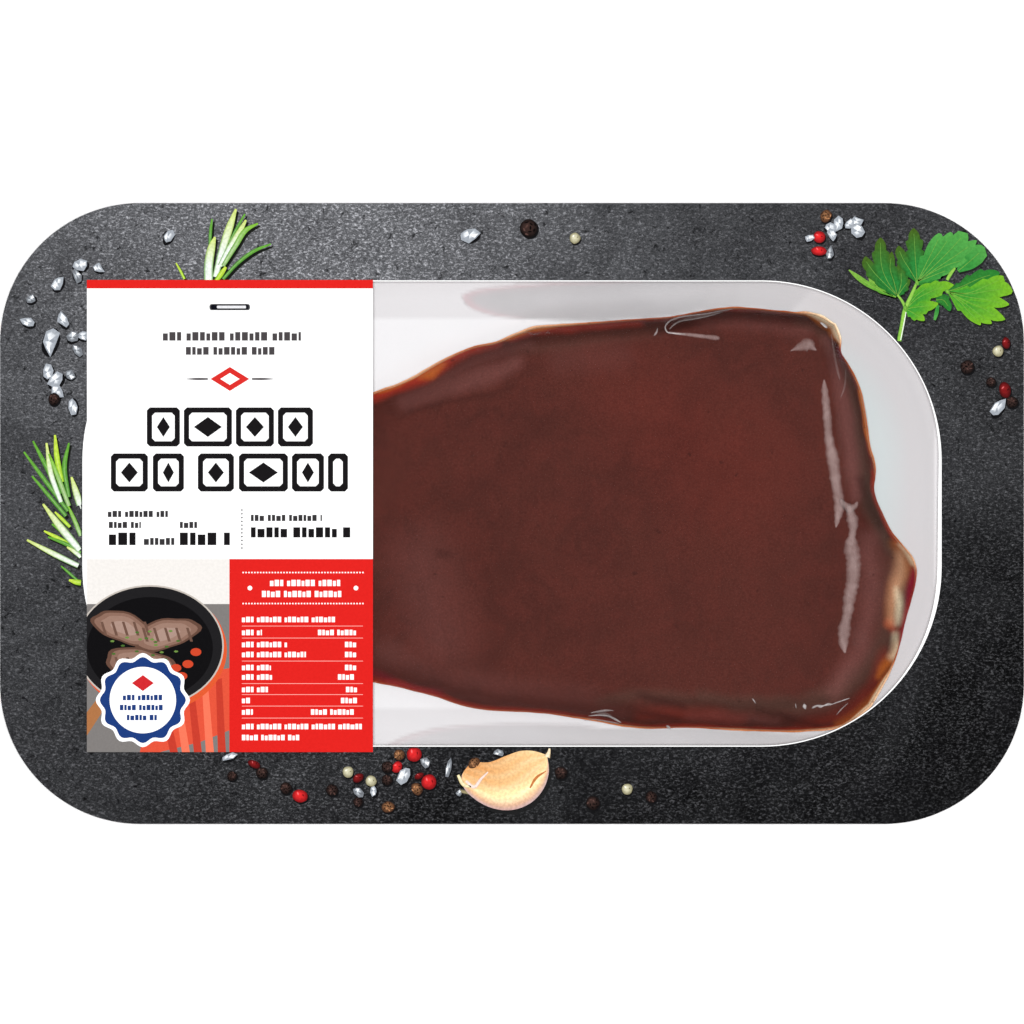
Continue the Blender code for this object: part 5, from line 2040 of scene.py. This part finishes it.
@dataclass
class CardSurround:
    """The dark printed card round the window, with herbs and spices in its print."""

    bottom: float = 0.02703
    top: float = CARD_TOP
    corner_steps: int = 32
    edge_round: float = 0.00012

    def ring(self, plan: RoundedPlan, height: float) -> list[Place]:
        """One closed ring of the card at this height."""
        return [(x, y, height) for x, y in plan.ring(self.corner_steps)]

    def may_print(self, x: float, y: float) -> bool:
        """Whether a place in millimetres is on the card, clear of its cut edges."""
        place = np.array([x * MM]), np.array([y * MM])
        return PACK.depth(*place)[0] > 0.0003 and WINDOW.depth(*place)[0] < -0.0003

    def build(self, finish: Material) -> Piece:
        """Makes the card: a flat band with its cut edges just broken.

        Args:
            finish: Its print.

        Returns:
            The card.
        """
        step = self.edge_round
        rings = [
            self.ring(WINDOW, self.bottom),
            self.ring(WINDOW, self.top - step),
            self.ring(WINDOW.inset(-step), self.top),
            self.ring(PACK.inset(step), self.top),
            self.ring(PACK, self.top - step),
            self.ring(PACK, self.bottom),
        ]
        card = mesh_piece("card_band", *closed_loft(rings), finish, 20)
        stand_for(card, "card_surround")
        return card

    @staticmethod
    def edge_and_highlight_inside(x: float, y: float) -> Point:
        """The cut edge's inner side, moved in where the white band is widened: low at its right, into a
        painted highlight of the tray's rim, and beside the label, into painted light over the narrow gap.
        """
        # The right term widens the white band into a painted highlight of the tray's rim; the left term
        # widens it beside the label into painted light.
        right = np.clip((x - 0.090) / 0.0208, 0, 1) ** 1.5 * np.clip((0.034 - y) / 0.034, 0.05, 1)
        left = np.clip((-x - 0.1000) / 0.006, 0, 1) * np.clip(1.5 - abs(y) / 0.03, 0, 1)
        right *= np.clip((y + 0.070) / 0.050, 0.1, 1)
        return x - 0.0008 * float(right) + 0.0013 * float(left), y + 0.0002 * float(right)

    def build_edge_and_rim_highlight(self, finish: Material) -> Piece:
        """Makes the bare white edge along the window, widened at its right and front into a painted highlight
        of the tray's rim, and beside the label into painted light.

        Args:
            finish: Its white.

        Returns:
            The edge.
        """
        inner = [self.edge_and_highlight_inside(x, y) for x, y in WINDOW.inset(0.00024).ring(self.corner_steps)]
        outer = WINDOW.inset(-0.00003).ring(self.corner_steps)
        low, high = self.bottom + 0.00005, self.top - 0.00004
        levels = ((inner, low), (inner, high), (outer, high), (outer, low))
        rings = [[(x, y, z) for x, y in plan] for plan, z in levels]
        edge = mesh_piece("window_edge_and_painted_rim_highlight", *closed_loft(rings), finish, 20)
        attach(edge, BODY)
        return edge

    def print_spices(self, run: PrintRun) -> None:
        """Prints the spices over their soft shadows: faceted salt, wrinkled corns, smooth berries."""
        shadow = srgb(18, 18, 20)
        for number, (_, px, py, radius, stretch) in enumerate(SPICES):
            x, y = on_sheet(px, py)
            low = (x + 0.2, y - 0.4)
            run.blot(low, pebble(low, radius * SHEET_UNIT * 1.06, number + 0.4, 0.1, stretch), shadow, shadow)
        for number, (spice, px, py, radius, stretch) in enumerate(SPICES):
            light, dark = (srgb(*tone) for tone in spice.value)
            x, y = on_sheet(px, py)
            size = radius * SHEET_UNIT
            layer = 1 + 3 * (number % 5)
            crystal = spice in (Spice.SALT, Spice.PALE_SALT)
            sides, rough = (7, 0.6) if crystal else (16, 0.12)
            outline = pebble((x, y), size, number + 0.4, rough, stretch, sides)
            rings = ((0.45, 0.15), (0.7, 0.9)) if crystal else ((0.4, 0.25), (0.75, 0.7))
            run.blot((x - size * 0.22, y + size * 0.25), outline, light, dark, layer, rings)
            if crystal:
                for k, tone in enumerate((spice.value[1], (250, 252, 254), spice.value[1])):
                    a, b = outline[(2 * k + number) % 7], outline[(2 * k + number + 1) % 7]
                    facet = [(x + (px - x) * 0.8, y + (py - y) * 0.8) for px, py in (a, b)]
                    run.flat([(x - size * 0.1, y), *facet], srgb(*tone), layer + 1)
            elif spice in (Spice.BLACK, Spice.BROWN):
                for k in range(9):
                    angle, out = 2.4 * k + number, size * 0.27 * math.sqrt(k + 0.4)
                    spot = (x + out * math.cos(angle), y + out * math.sin(angle))
                    tone = light if k % 3 == 1 else dark
                    tone = tuple(value * (1.8 if k % 3 == 1 else 0.5) for value in tone[:3]) + (1.0,)
                    run.blot(spot, pebble(spot, size * 0.15, k + number, 0.6, 1.5, 6), tone, tone, layer + 1)
            else:
                glint = srgb(*(min(255, tone + 90) for tone in spice.value[0]))
                spot = (x - size * 0.3, y + size * 0.35)
                run.blot(spot, pebble(spot, size * 0.2, number, 0.1, 1.5, 10), glint, light, layer + 1)
                spot = (x + size * 0.45, y + size * 0.1)
                run.blot(spot, pebble(spot, size * 0.15, number, 0.4, 1.4, 6), dark, dark, layer + 1)

    def print_rosemary(self, run: PrintRun) -> None:
        """Prints the needles of both sprigs, each over its shadow."""
        for _, *route in ROSEMARY:
            low = [(px + 2, py + 2.5, half) for px, py, half in route]
            run.ribbon(low, srgb(22, 24, 20), srgb(40, 42, 40))
        for number, (kind, *route) in enumerate(ROSEMARY):
            middle, edge, tip = (srgb(*tone) for tone in kind.value)
            layer = 1 + 2 * (number % 8)
            run.ribbon(route, middle, edge, layer, 0, tip)
            rib = [(px - 0.2, py - 0.2, half * 0.2) for px, py, half in route]
            run.ribbon(rib, kind.rib(), kind.rib(), layer + 1, 0, tip)

    def print_parsley(self, run: PrintRun) -> None:
        """Prints the parsley's toothed lobes, their veins and the stems."""
        for _, teeth, *route in PARSLEY:
            low = [(px + 1, py + 2, half) for px, py, half in route]
            run.ribbon(low, srgb(24, 25, 24), srgb(36, 37, 37), 0, teeth)
        for number, (kind, teeth, *route) in enumerate(PARSLEY):
            root, edge, tip = (srgb(*tone) for tone in kind.value)
            run.ribbon(route, root, edge, 1 + number, teeth, tip)
            vein = tuple(0.72 * a + 0.28 * b for a, b in zip(root, srgb(190, 210, 90)))
            thin = [(px, py, 0.42 - 0.3 * k / len(route)) for k, (px, py, _) in enumerate(route[:-1])]
            if len(thin) > 2:
                run.ribbon(thin, vein, root, 2 + len(PARSLEY))
        for route in STEMS:
            run.ribbon(route, srgb(140, 190, 78), srgb(84, 146, 48), 3 + len(PARSLEY))
        for px, py in ((905.2, 308), (917, 282.5), (947.4, 291.6)):
            spot = on_sheet(px, py)
            outline = pebble(spot, 2.4 * SHEET_UNIT, px, 0.3, 1.3, 10)
            run.blot(spot, outline, srgb(132, 184, 72), srgb(84, 146, 48), 4 + len(PARSLEY))
        white_side = ((900.6, 340, 0.5), (903.6, 325, 0.6), (906.0, 312, 0.4))
        run.ribbon(white_side, srgb(226, 232, 222), srgb(190, 210, 170), 7 + len(PARSLEY))

    def print_garlic(self, run: PrintRun) -> None:
        """Prints the garlic clove with its striped skin and dry tip."""
        upper = ((464, 771), (470, 764), (490, 762), (508, 755), (520, 751), (534, 751), (547, 755))
        lower = ((464, 771), (461, 778), (464, 788), (476, 800), (492, 808), (512, 810), (532, 802),
                 (545, 786), (549, 770), (547, 755))
        shares = np.linspace(0, 1, 31)
        top_edge, low_edge = smooth_along(upper, shares), smooth_along(lower, shares)
        lanes = 13
        top, inks = [], []
        for lane in range(lanes):
            share = lane / (lanes - 1)
            dry = max(0, share - 0.8) / 0.2
            for i in range(len(shares)):
                top.append(on_sheet(*(top_edge[i] * (1 - share) + low_edge[i] * share)))
                stripe = 0.5 + 0.5 * math.sin(share * 26 + math.sin(i * 0.35) * 1.2)
                glow = 46 * math.exp(-(((share - 0.72) / 0.12) ** 2)) * math.sin(math.pi * i / 30)
                warm = max(0.0, 1 - i / 24) * (1 - share)
                tone = (
                    238 - 34 * warm - 48 * dry,
                    190 - 62 * warm + 14 * stripe - 40 * dry,
                    132 - 66 * warm + 22 * stripe + 10 * dry,
                )
                inks.append(srgb(*(min(252, value + glow) for value in tone)))
        outline = [on_sheet(px + 3, py + 5) for px, py in (*upper[::2], *reversed(lower[1:-1]))]
        run.blot(on_sheet(508, 787), outline, srgb(22, 22, 23), srgb(30, 30, 31), 0)
        run.weave(top, inks, len(shares), 2)
        for middle, edge, layer, *route in (
            ((238, 222, 190), (190, 160, 120), 3, (547, 757, 3.2), (549, 752, 1.6), (549.5, 748.5, 0.9)),
            ((186, 112, 60), (206, 140, 84), 3, (530, 788, 0.8), (536, 778, 1.4), (546, 771, 0.5)),
            ((236, 214, 204), (206, 170, 158), 3, (466, 781, 1.4), (474, 787, 1.8), (481, 779, 1.4),
             (488, 772, 0.6)),
            ((150, 138, 104), (90, 84, 66), 1, (460, 791, 1.6), (470, 793, 1.8), (482, 797, 1.0)),
            ((232, 220, 180), (196, 176, 110), 3, (458, 775, 1.4), (464, 785, 1.8), (471, 787, 1.0)),
        ):
            run.ribbon(route, srgb(*middle), srgb(*edge), layer)


@dataclass
class PaperLabel:
    """The label across the pack's narrow end: a white field, a red stripe and two printed panels."""

    bottom: float = 0.02785
    top: float = 0.0285
    left: float = 87.0
    right: float = 373.0
    head: float = 280.0
    foot: float = 752.0
    fold: float = 559.0
    middle: float = 229.5
    edge_round: float = 0.00008

    RED = srgb(212, 30, 26)
    BLACK = srgb(24, 22, 24)
    BARE = srgb(252, 252, 252)

    def build(self, finish: Material) -> Piece:
        """Makes the paper.

        Args:
            finish: Its paper.

        Returns:
            The label.
        """
        x0, y1 = (value * MM for value in on_sheet(self.left, self.head))
        x1, y0 = (value * MM for value in on_sheet(self.right, self.foot))
        step = self.edge_round
        rings = []
        levels = ((step, self.bottom), (0, self.bottom + step), (0, self.top - step), (step, self.top))
        for inset, height in levels:
            a, b, c, d = x0 + inset, x1 - inset, y0 + inset, y1 - inset
            corners = ((a, c), (b, c), (b, d), (a, d))
            ring = []
            for k, (ax, ay) in enumerate(corners):
                bx, by = corners[(k + 1) % 4]
                ring += [(ax + (bx - ax) * i / 8, ay + (by - ay) * i / 8, height) for i in range(8)]
            rings.append(ring)
        points, faces = loft(rings)
        count = len(rings[0])
        faces += [tuple(reversed(range(count))), tuple(range(3 * count, 4 * count))]
        label = mesh_piece("paper_label", points, faces, finish, 20)
        stand_for(label, "label")
        return label

    def lines(
        self, run: PrintRun, rows: Iterable[tuple[float, float, float, float]], ink: Colour, layer: int
    ) -> None:
        """Prints lines of small plain blocks, spaced like the words of a text.

        Args:
            run: The print run.
            rows: The bounds of each line on the sheet: left, top, right and bottom.
            ink: Its ink.
            layer: Its ink layer.
        """
        for number, (x0, y0, x1, y1) in enumerate(rows):
            height = y1 - y0
            at, block = x0, 0
            word = 3 + number % 4
            while at < x1 - 0.15 * height:
                swing = 0.5 + 0.5 * math.sin(number * 2.7 + block * 1.9)
                end = min(x1, at + height * (0.34 + 0.22 * swing))
                high = y0 + height * (0.1 if (block + number) % 3 else 0.22)
                run.box(at, high, end, y1 - height * 0.12, ink, layer)
                at = end + height * 0.14
                block += 1
                word -= 1
                if word == 0:
                    at += height * 0.34
                    word = 3 + (block * 5 + number) % 6

    def title(self, run: PrintRun, cells: Iterable[Point], top: float, foot: float) -> None:
        """Prints a row of large black frames, each round a lozenge.

        Args:
            run: The print run.
            cells: Left and right of each frame on the sheet.
            top: The row's top.
            foot: The row's foot.
        """
        middle = (top + foot) / 2
        for x0, x1 in cells:
            for inset, ink, layer in ((0.0, self.BLACK, 0), (5.2, self.BARE, 1)):
                a, b, c, d = x0 + inset, x1 - inset, top + inset, foot - inset
                frame_shape = (
                    (a + 3, c), (b - 3, c), (b, c + 3), (b, d - 3),
                    (b - 3, d), (a + 3, d), (a, d - 3), (a, c + 3),
                )
                run.cut(frame_shape, ink, layer)
            self.lozenge(run, (x0 + x1) / 2, middle, (x1 - x0) / 2 - 10, 10, self.BLACK, 2)

    def lozenge(
        self, run: PrintRun, px: float, py: float, half_width: float, half_height: float,
        ink: Colour, layer: int,
    ) -> None:
        """Prints a lozenge round a place on the sheet."""
        corners = [(px - half_width, py), (px, py - half_height)]
        corners += [(px + half_width, py), (px, py + half_height)]
        run.cut(corners, ink, layer)

    def print_fields(self, run: PrintRun) -> None:
        """Prints the red stripe and panel, and the white field's ornament, titles and small blocks."""
        run.box(self.left, self.head, self.right, 288.5, self.RED)
        run.box(self.middle, self.fold, self.right, self.foot, self.RED)
        self.lines(run, ((163, 331, 301, 342), (186, 346, 275, 356)), srgb(70, 66, 68), 0)
        self._ornament(run)
        self.title(run, ((147, 180), (184, 232), (236, 274), (278, 313)), 407.5, 446.5)
        cells = ((111, 148), (153, 184), (198, 234), (239, 288), (292, 324), (328, 348))
        self.title(run, cells, 453.5, 491.5)
        grey = srgb(52, 50, 52)
        small = ((108, 510, 168, 518), (109, 521, 141, 529), (180, 521, 199, 529), (144, 537, 175, 546),
                 (251, 514, 322, 522))
        self.lines(run, small, grey, 0)
        self.lines(run, ((109, 531, 140, 547), (180, 531, 233, 547), (251, 526, 351, 539)), self.BLACK, 0)
        for dot in range(11):
            spot = on_sheet(242, 510 + dot * 3.8)
            run.blot(spot, pebble(spot, 0.22, dot, 0, 1, 8), grey, grey)

    def _ornament(self, run: PrintRun) -> None:
        """A plain ornament: a red lozenge between two thin rules."""
        self.lozenge(run, 230, 379, 19.4, 12, srgb(206, 42, 38), 0)
        self.lozenge(run, 230, 379, 9.7, 6, self.BARE, 1)
        for side in (-1, 1):
            rule = [(230 + side * out, 379, half) for out, half in ((22, 0.9), (33, 1.1), (43, 0.3))]
            run.ribbon(rule, srgb(88, 84, 86), srgb(88, 84, 86))

    def print_table(self, run: PrintRun) -> None:
        """Prints the red panel's dotted rules, plain lines and table rows."""
        white = srgb(250, 246, 244)
        for height in (572.5, 603.5):
            for dot in range(42):
                px = 242.5 + dot * 2.92
                run.box(px, height - 0.7, px + 1.5, height + 0.7, white, 1)
        for px in (250, 356):
            spot = on_sheet(px, 588)
            run.blot(spot, pebble(spot, 0.62, 1, 0, 1, 12), white, white, 1)
        self.lines(run, ((270, 579, 341, 587), (262, 590, 346, 598)), white, 1)
        self.lines(run, ((242, 616, 336, 623),), white, 1)
        for height in (626, 638, 661, 683.5, 694.5, 706, 718):
            run.box(242, height - 0.3, 363, height + 0.3, srgb(244, 168, 160), 1)
        rows = ((629, 262, 318), (641, 288, 345), (651, 306, 345), (664, 271, 345), (673.5, 273, 338),
                (686, 268, 346), (697, 252, 341), (708.5, 253, 311))
        for top, name_end, figure_start in rows:
            self.lines(run, ((242, top, name_end, top + 7), (figure_start, top, 357, top + 7)), white, 1)
        self.lines(run, ((242, 723, 363, 730), (242, 734, 301, 741)), white, 1)

    def print_picture(self, run: PrintRun) -> None:
        """Prints the serving picture: a pan with browned slices, herbs and a red cloth, in flat shapes."""
        shelf = 604
        run.box(self.left, self.fold, self.middle, shelf, srgb(226, 222, 218), 0)
        run.box(self.left, shelf, self.middle, self.foot, srgb(120, 116, 114), 0)
        cloth = ((150, 700), (176, 676), (230, 668), (230, 730), (200, 742), (160, 752), (140, 752))
        self._clipped(run, cloth, srgb(214, 78, 54), 1)
        for k in range(5):
            px, py, low = 160 + 14 * k, 700 - 5 * k, 170 + 12 * k
            fold = ((px, py), (px + 6, py - 2), (low + 8, 752), (low, 752))
            self._clipped(run, fold, srgb(232, 112, 84) if k % 2 else srgb(188, 56, 40), 2)
        for px, py, rx, ry, ink, layer in (
            (153, 650, 74, 62, srgb(212, 84, 44), 3),
            (150, 646, 74, 61, srgb(186, 178, 170), 4),
            (150, 646, 72.4, 59.4, srgb(30, 29, 31), 5),
            (150, 648, 63, 51, srgb(16, 15, 17), 6),
        ):
            self._clipped(run, oval(px, py, rx, ry, 64), ink, layer)
        slices = ((124, 628, 33, 15, 0.35), (166, 634, 34, 15, -0.25), (140, 664, 36, 16, 0.12))
        browned = ((1.0, (96, 68, 56)), (0.88, (132, 100, 86)), (0.7, (148, 117, 103)),
                   (0.4, (162, 134, 122)))
        for number, (px, py, rx, ry, turn) in enumerate(slices):
            for step, (grow, tone) in enumerate(browned):
                ring = []
                for angle in (a * math.pi / 18 for a in range(36)):
                    wave = 1 + 0.07 * math.sin(3 * angle + number) + 0.03 * math.sin(7 * angle)
                    ring.append((rx * grow * wave * math.cos(angle), ry * grow * wave * math.sin(angle)))
                self._clipped(run, turned(ring, turn, px, py), srgb(*tone), 7 + 2 * step + number % 2)
            for k in range(5):
                at, top, low = px + 1.3 * rx * (k / 4 - 0.5), py - ry * 0.62 + 3, py + ry * 0.5
                bar = ((at - 2, top), (at + 0.6, top), (at + 5, low), (at + 2.2, low))
                self._clipped(run, bar, srgb(104, 76, 64), 16)
        for number in range(22):
            angle, out = number * 2.4, 8 + (number * 7) % 34
            px, py = 148 + out * math.cos(angle), 645 + out * 0.62 * math.sin(angle)
            turns = [1.3 * a + angle for a in range(5)]
            leaf = [(px + 2.3 * math.cos(turn), py + 1.2 * math.sin(turn)) for turn in turns]
            self._clipped(run, leaf, srgb(70, 104, 44) if number % 2 else srgb(104, 136, 64), 17)
        for px, py in ((188, 664), (196, 652), (182, 676), (176, 668)):
            self._clipped(run, oval(px, py, 5.5, 4, 16), srgb(196, 66, 38), 15)
        handle = ((84, 716), (104, 690), (112, 697), (92, 728), (84, 740))
        self._clipped(run, handle, srgb(164, 108, 66), 5)

    def _clipped(self, run: PrintRun, shape: Iterable[Point], ink: Colour, layer: int) -> None:
        """Prints a shape cut to the picture's bounds.

        Args:
            run: The print run.
            shape: The shape on the sheet.
            ink: Its ink.
            layer: Its ink layer.
        """
        points = [tuple(map(float, point)) for point in shape]
        bounds = ((0, self.left, 1), (0, self.middle, -1), (1, self.fold, 1), (1, self.foot, -1))
        for axis, bound, side in bounds:
            kept = []
            for here, there in zip(points, points[1:] + points[:1]):
                a, b = (here[axis] - bound) * side, (there[axis] - bound) * side
                if a >= 0:
                    kept.append(here)
                if a * b < 0:
                    t = a / (a - b)
                    kept.append((here[0] + (there[0] - here[0]) * t, here[1] + (there[1] - here[1]) * t))
            points = kept
            if len(points) < 3:
                return
        run.cut(points, ink, layer)

    def print_seal(self, run: PrintRun) -> None:
        """Prints a seal: a scalloped blue edge round a lozenge and rows of small blocks."""
        x, y = on_sheet(143, 700)
        for radius, wave, ink, layer in (
            (11.6, 0.05, self.BARE, 20), (10.6, 0.05, srgb(26, 56, 118), 21), (8.6, 0.0, self.BARE, 22),
        ):
            turns = [2 * math.pi * a / 96 for a in range(96)]
            reaches = [(turn, radius * (1 + wave * math.cos(12 * turn))) for turn in turns]
            ring = [(x + out * math.cos(turn), y + out * math.sin(turn)) for turn, out in reaches]
            run.blot((x, y), ring, ink, ink, layer)
        self.lozenge(run, 143, 683, 11, 8, srgb(196, 36, 42), 23)
        rows = ((123, 694, 163, 701), (120, 704, 166, 711), (127, 714, 159, 721))
        self.lines(run, rows, srgb(26, 56, 118), 23)


@dataclass
class Staple:
    """The staple's crown on the label, its ends turned down to the paper."""

    place: Point = (-73.0, 53.38)
    half_length: float = 5.6
    wire: float = 0.79
    half_thickness: float = 0.46
    rise: float = 1.26
    foot: float = 0.02855

    def build(self, finish: Material) -> Piece:
        """Makes the wire as a swept tube with rounded ends.

        Args:
            finish: Its metal.

        Returns:
            The staple.
        """
        bend = 0.9
        rise = self.foot / MM + self.rise
        straight = self.half_length - self.wire - bend
        corner = [(math.cos(math.pi / 16 * step), math.sin(math.pi / 16 * step)) for step in range(9)]
        route = [(-straight - bend * a, rise - bend + bend * b) for a, b in corner]
        route += [(straight * (2 * k / 10 - 1), rise) for k in range(1, 10)]
        route += [(straight + bend * a, rise - bend + bend * b) for a, b in reversed(corner)]
        sides = 24
        line = np.array(route)
        tangent = np.gradient(line, axis=0)
        tangent /= np.linalg.norm(tangent, axis=1)[:, None]
        rings, crown = [], []
        for k, ((a, h), (ta, th)) in enumerate(zip(line, tangent)):
            ring = []
            # The crown attribute is the painted highlight's share round the wire: most along its top, less on
            # its bends.
            level = 1.0 if 8 < k < len(line) - 7 else 0.3
            for i in range(sides):
                angle = 2 * math.pi * i / sides
                crown.append(level * max(0.0, math.sin(angle)) ** 1.5)
                out, up = self.wire * math.cos(angle), self.half_thickness * math.sin(angle)
                out += self.place[1]
                ring.append(((self.place[0] + a - th * up) * MM, out * MM, (h + ta * up) * MM))
            rings.append(ring)
        points, faces = loft(rings)
        low = self.foot + 0.00003
        points = [(x, y, max(z, low)) for x, y, z in points]
        faces += [tuple(reversed(range(sides))), tuple(range(len(points) - sides, len(points)))]
        wire = mesh_piece("staple_wire", points, faces, finish, 50)
        write_attribute(wire, "crown", np.array(crown))
        stand_for(wire, "staple")
        return wire


# Studio


@dataclass(frozen=True)
class SoftBox:
    """A soft studio light aimed at the pack."""

    name: str
    place: Place
    size: Point
    power: float
    aim: Place = (0.0, 0.0, 0.02)
    shines: bool = True

    def build(self) -> Piece:
        """Makes the light, unseen by the camera."""
        data = bpy.data.lights.new(self.name, "AREA")
        data.shape = "RECTANGLE"
        data.size, data.size_y = self.size
        data.energy = self.power
        lamp = bpy.data.objects.new(self.name, data)
        lamp.location = self.place
        lamp.rotation_euler = (Vector(self.aim) - Vector(self.place)).to_track_quat("-Z", "Y").to_euler()
        lamp.visible_camera = False
        lamp.visible_glossy = self.shines
        bpy.context.scene.collection.objects.link(lamp)
        return lamp


@dataclass
class Studio:
    """A plain white floor, soft light and the camera straight above."""

    floor_size: float = 6.0
    sky: float = 0.20

    LIGHTS = (
        SoftBox("overhead", (0.0, 0.0, 2.24), (0.11, 0.11), 50.5, shines=False),
        SoftBox("right_strip", (0.95, 0.0, 1.05), (0.30, 0.7), 1.2),
        SoftBox("back_strip", (0.1, 0.95, 1.05), (0.8, 0.25), 0.9),
    )

    def build(self) -> None:
        """Makes the floor, the sky, the lights and the camera."""
        self._floor()
        self._sky()
        for light in self.LIGHTS:
            light.build()
        self._camera()

    def _floor(self) -> None:
        """The white floor, which isn't part of the pack."""
        half = self.floor_size / 2
        made, graph, shader = new_material("studio_floor")
        sweep = graph.noise(3.0, 2.0)
        tone = graph.blend(graph.math("MULTIPLY", sweep, 0.1), srgb(250, 250, 250), srgb(244, 244, 244))
        graph.fill(shader, Base_Color=tone, Roughness=0.9, Specular_IOR_Level=0.0)
        corners = [(-half, -half, 0), (half, -half, 0), (half, half, 0), (-half, half, 0)]
        floor = mesh_piece("studio_floor", corners, [(0, 1, 2, 3)], made)
        if floor.data.polygons[0].normal.z < 0:
            floor.data.flip_normals()

    def _sky(self) -> None:
        """Even white light from all round, left out of reflections."""
        world = bpy.data.worlds.new("studio_sky")
        world.use_nodes = True
        background = world.node_tree.nodes["Background"]
        background.inputs["Color"].default_value = (1.0, 1.0, 1.0, 1.0)
        background.inputs["Strength"].default_value = self.sky
        world.cycles_visibility.glossy = False
        bpy.context.scene.world = world

    def _camera(self) -> None:
        """The camera straight above, with the top of the picture towards +Y."""
        data = bpy.data.cameras.new("camera")
        data.lens = LENS
        data.clip_end = 20.0
        camera = bpy.data.objects.new("camera", data)
        camera.location = (0.0, 0.00039, CARD_TOP + VIEW_DISTANCE)
        bpy.context.scene.collection.objects.link(camera)
        bpy.context.scene.camera = camera
        bpy.context.scene.view_settings.view_transform = "Standard"


def main() -> None:
    """Builds the pack, piece by piece, and the studio round it."""
    logging.basicConfig(level=logging.INFO, format="%(name)s: %(message)s")
    Studio().build()
    LOG.info("studio ready")
    effects = Effects()
    tray = Tray()
    tray.build(TrayPlastic().build(effects))
    LOG.info("tray shell")
    heart = HeartSlab(tray)
    meat = RawHeart().build(effects)
    heart.build(meat)
    heart.build_lip(meat)
    LOG.info("heart slab and its lip of fat")
    film = ClingFilm(tray, heart)
    drawn = film.draw_down()
    film.build(drawn, StretchFilm().build(effects))
    PaintedGlareMarks().build(drawn, PaintedFilmGlare().build(effects))
    LOG.info("cling film and its highlights")
    card = CardSurround()
    paper = LabelPaper().build(effects)
    card.build(SlatePrint().build(effects))
    card.build_edge_and_rim_highlight(paper)
    herbs = PrintRun("herb_print", card.top, card.may_print)
    for draw in (card.print_spices, card.print_rosemary, card.print_parsley, card.print_garlic):
        draw(herbs)
    herbs.build(PrintedInk("herb_ink").build(effects))
    LOG.info("card and its print")
    label = PaperLabel()
    label.build(paper)
    panels = PrintRun("label_print", label.top)
    for draw in (label.print_fields, label.print_table, label.print_picture, label.print_seal):
        draw(panels)
    panels.build(PrintedInk("label_ink", grain_amount=0.06).build(effects))
    LOG.info("label and its print")
    Staple().build(StapleWire().build(effects))
    LOG.info("staple")


if __name__ == "__main__":
    main()
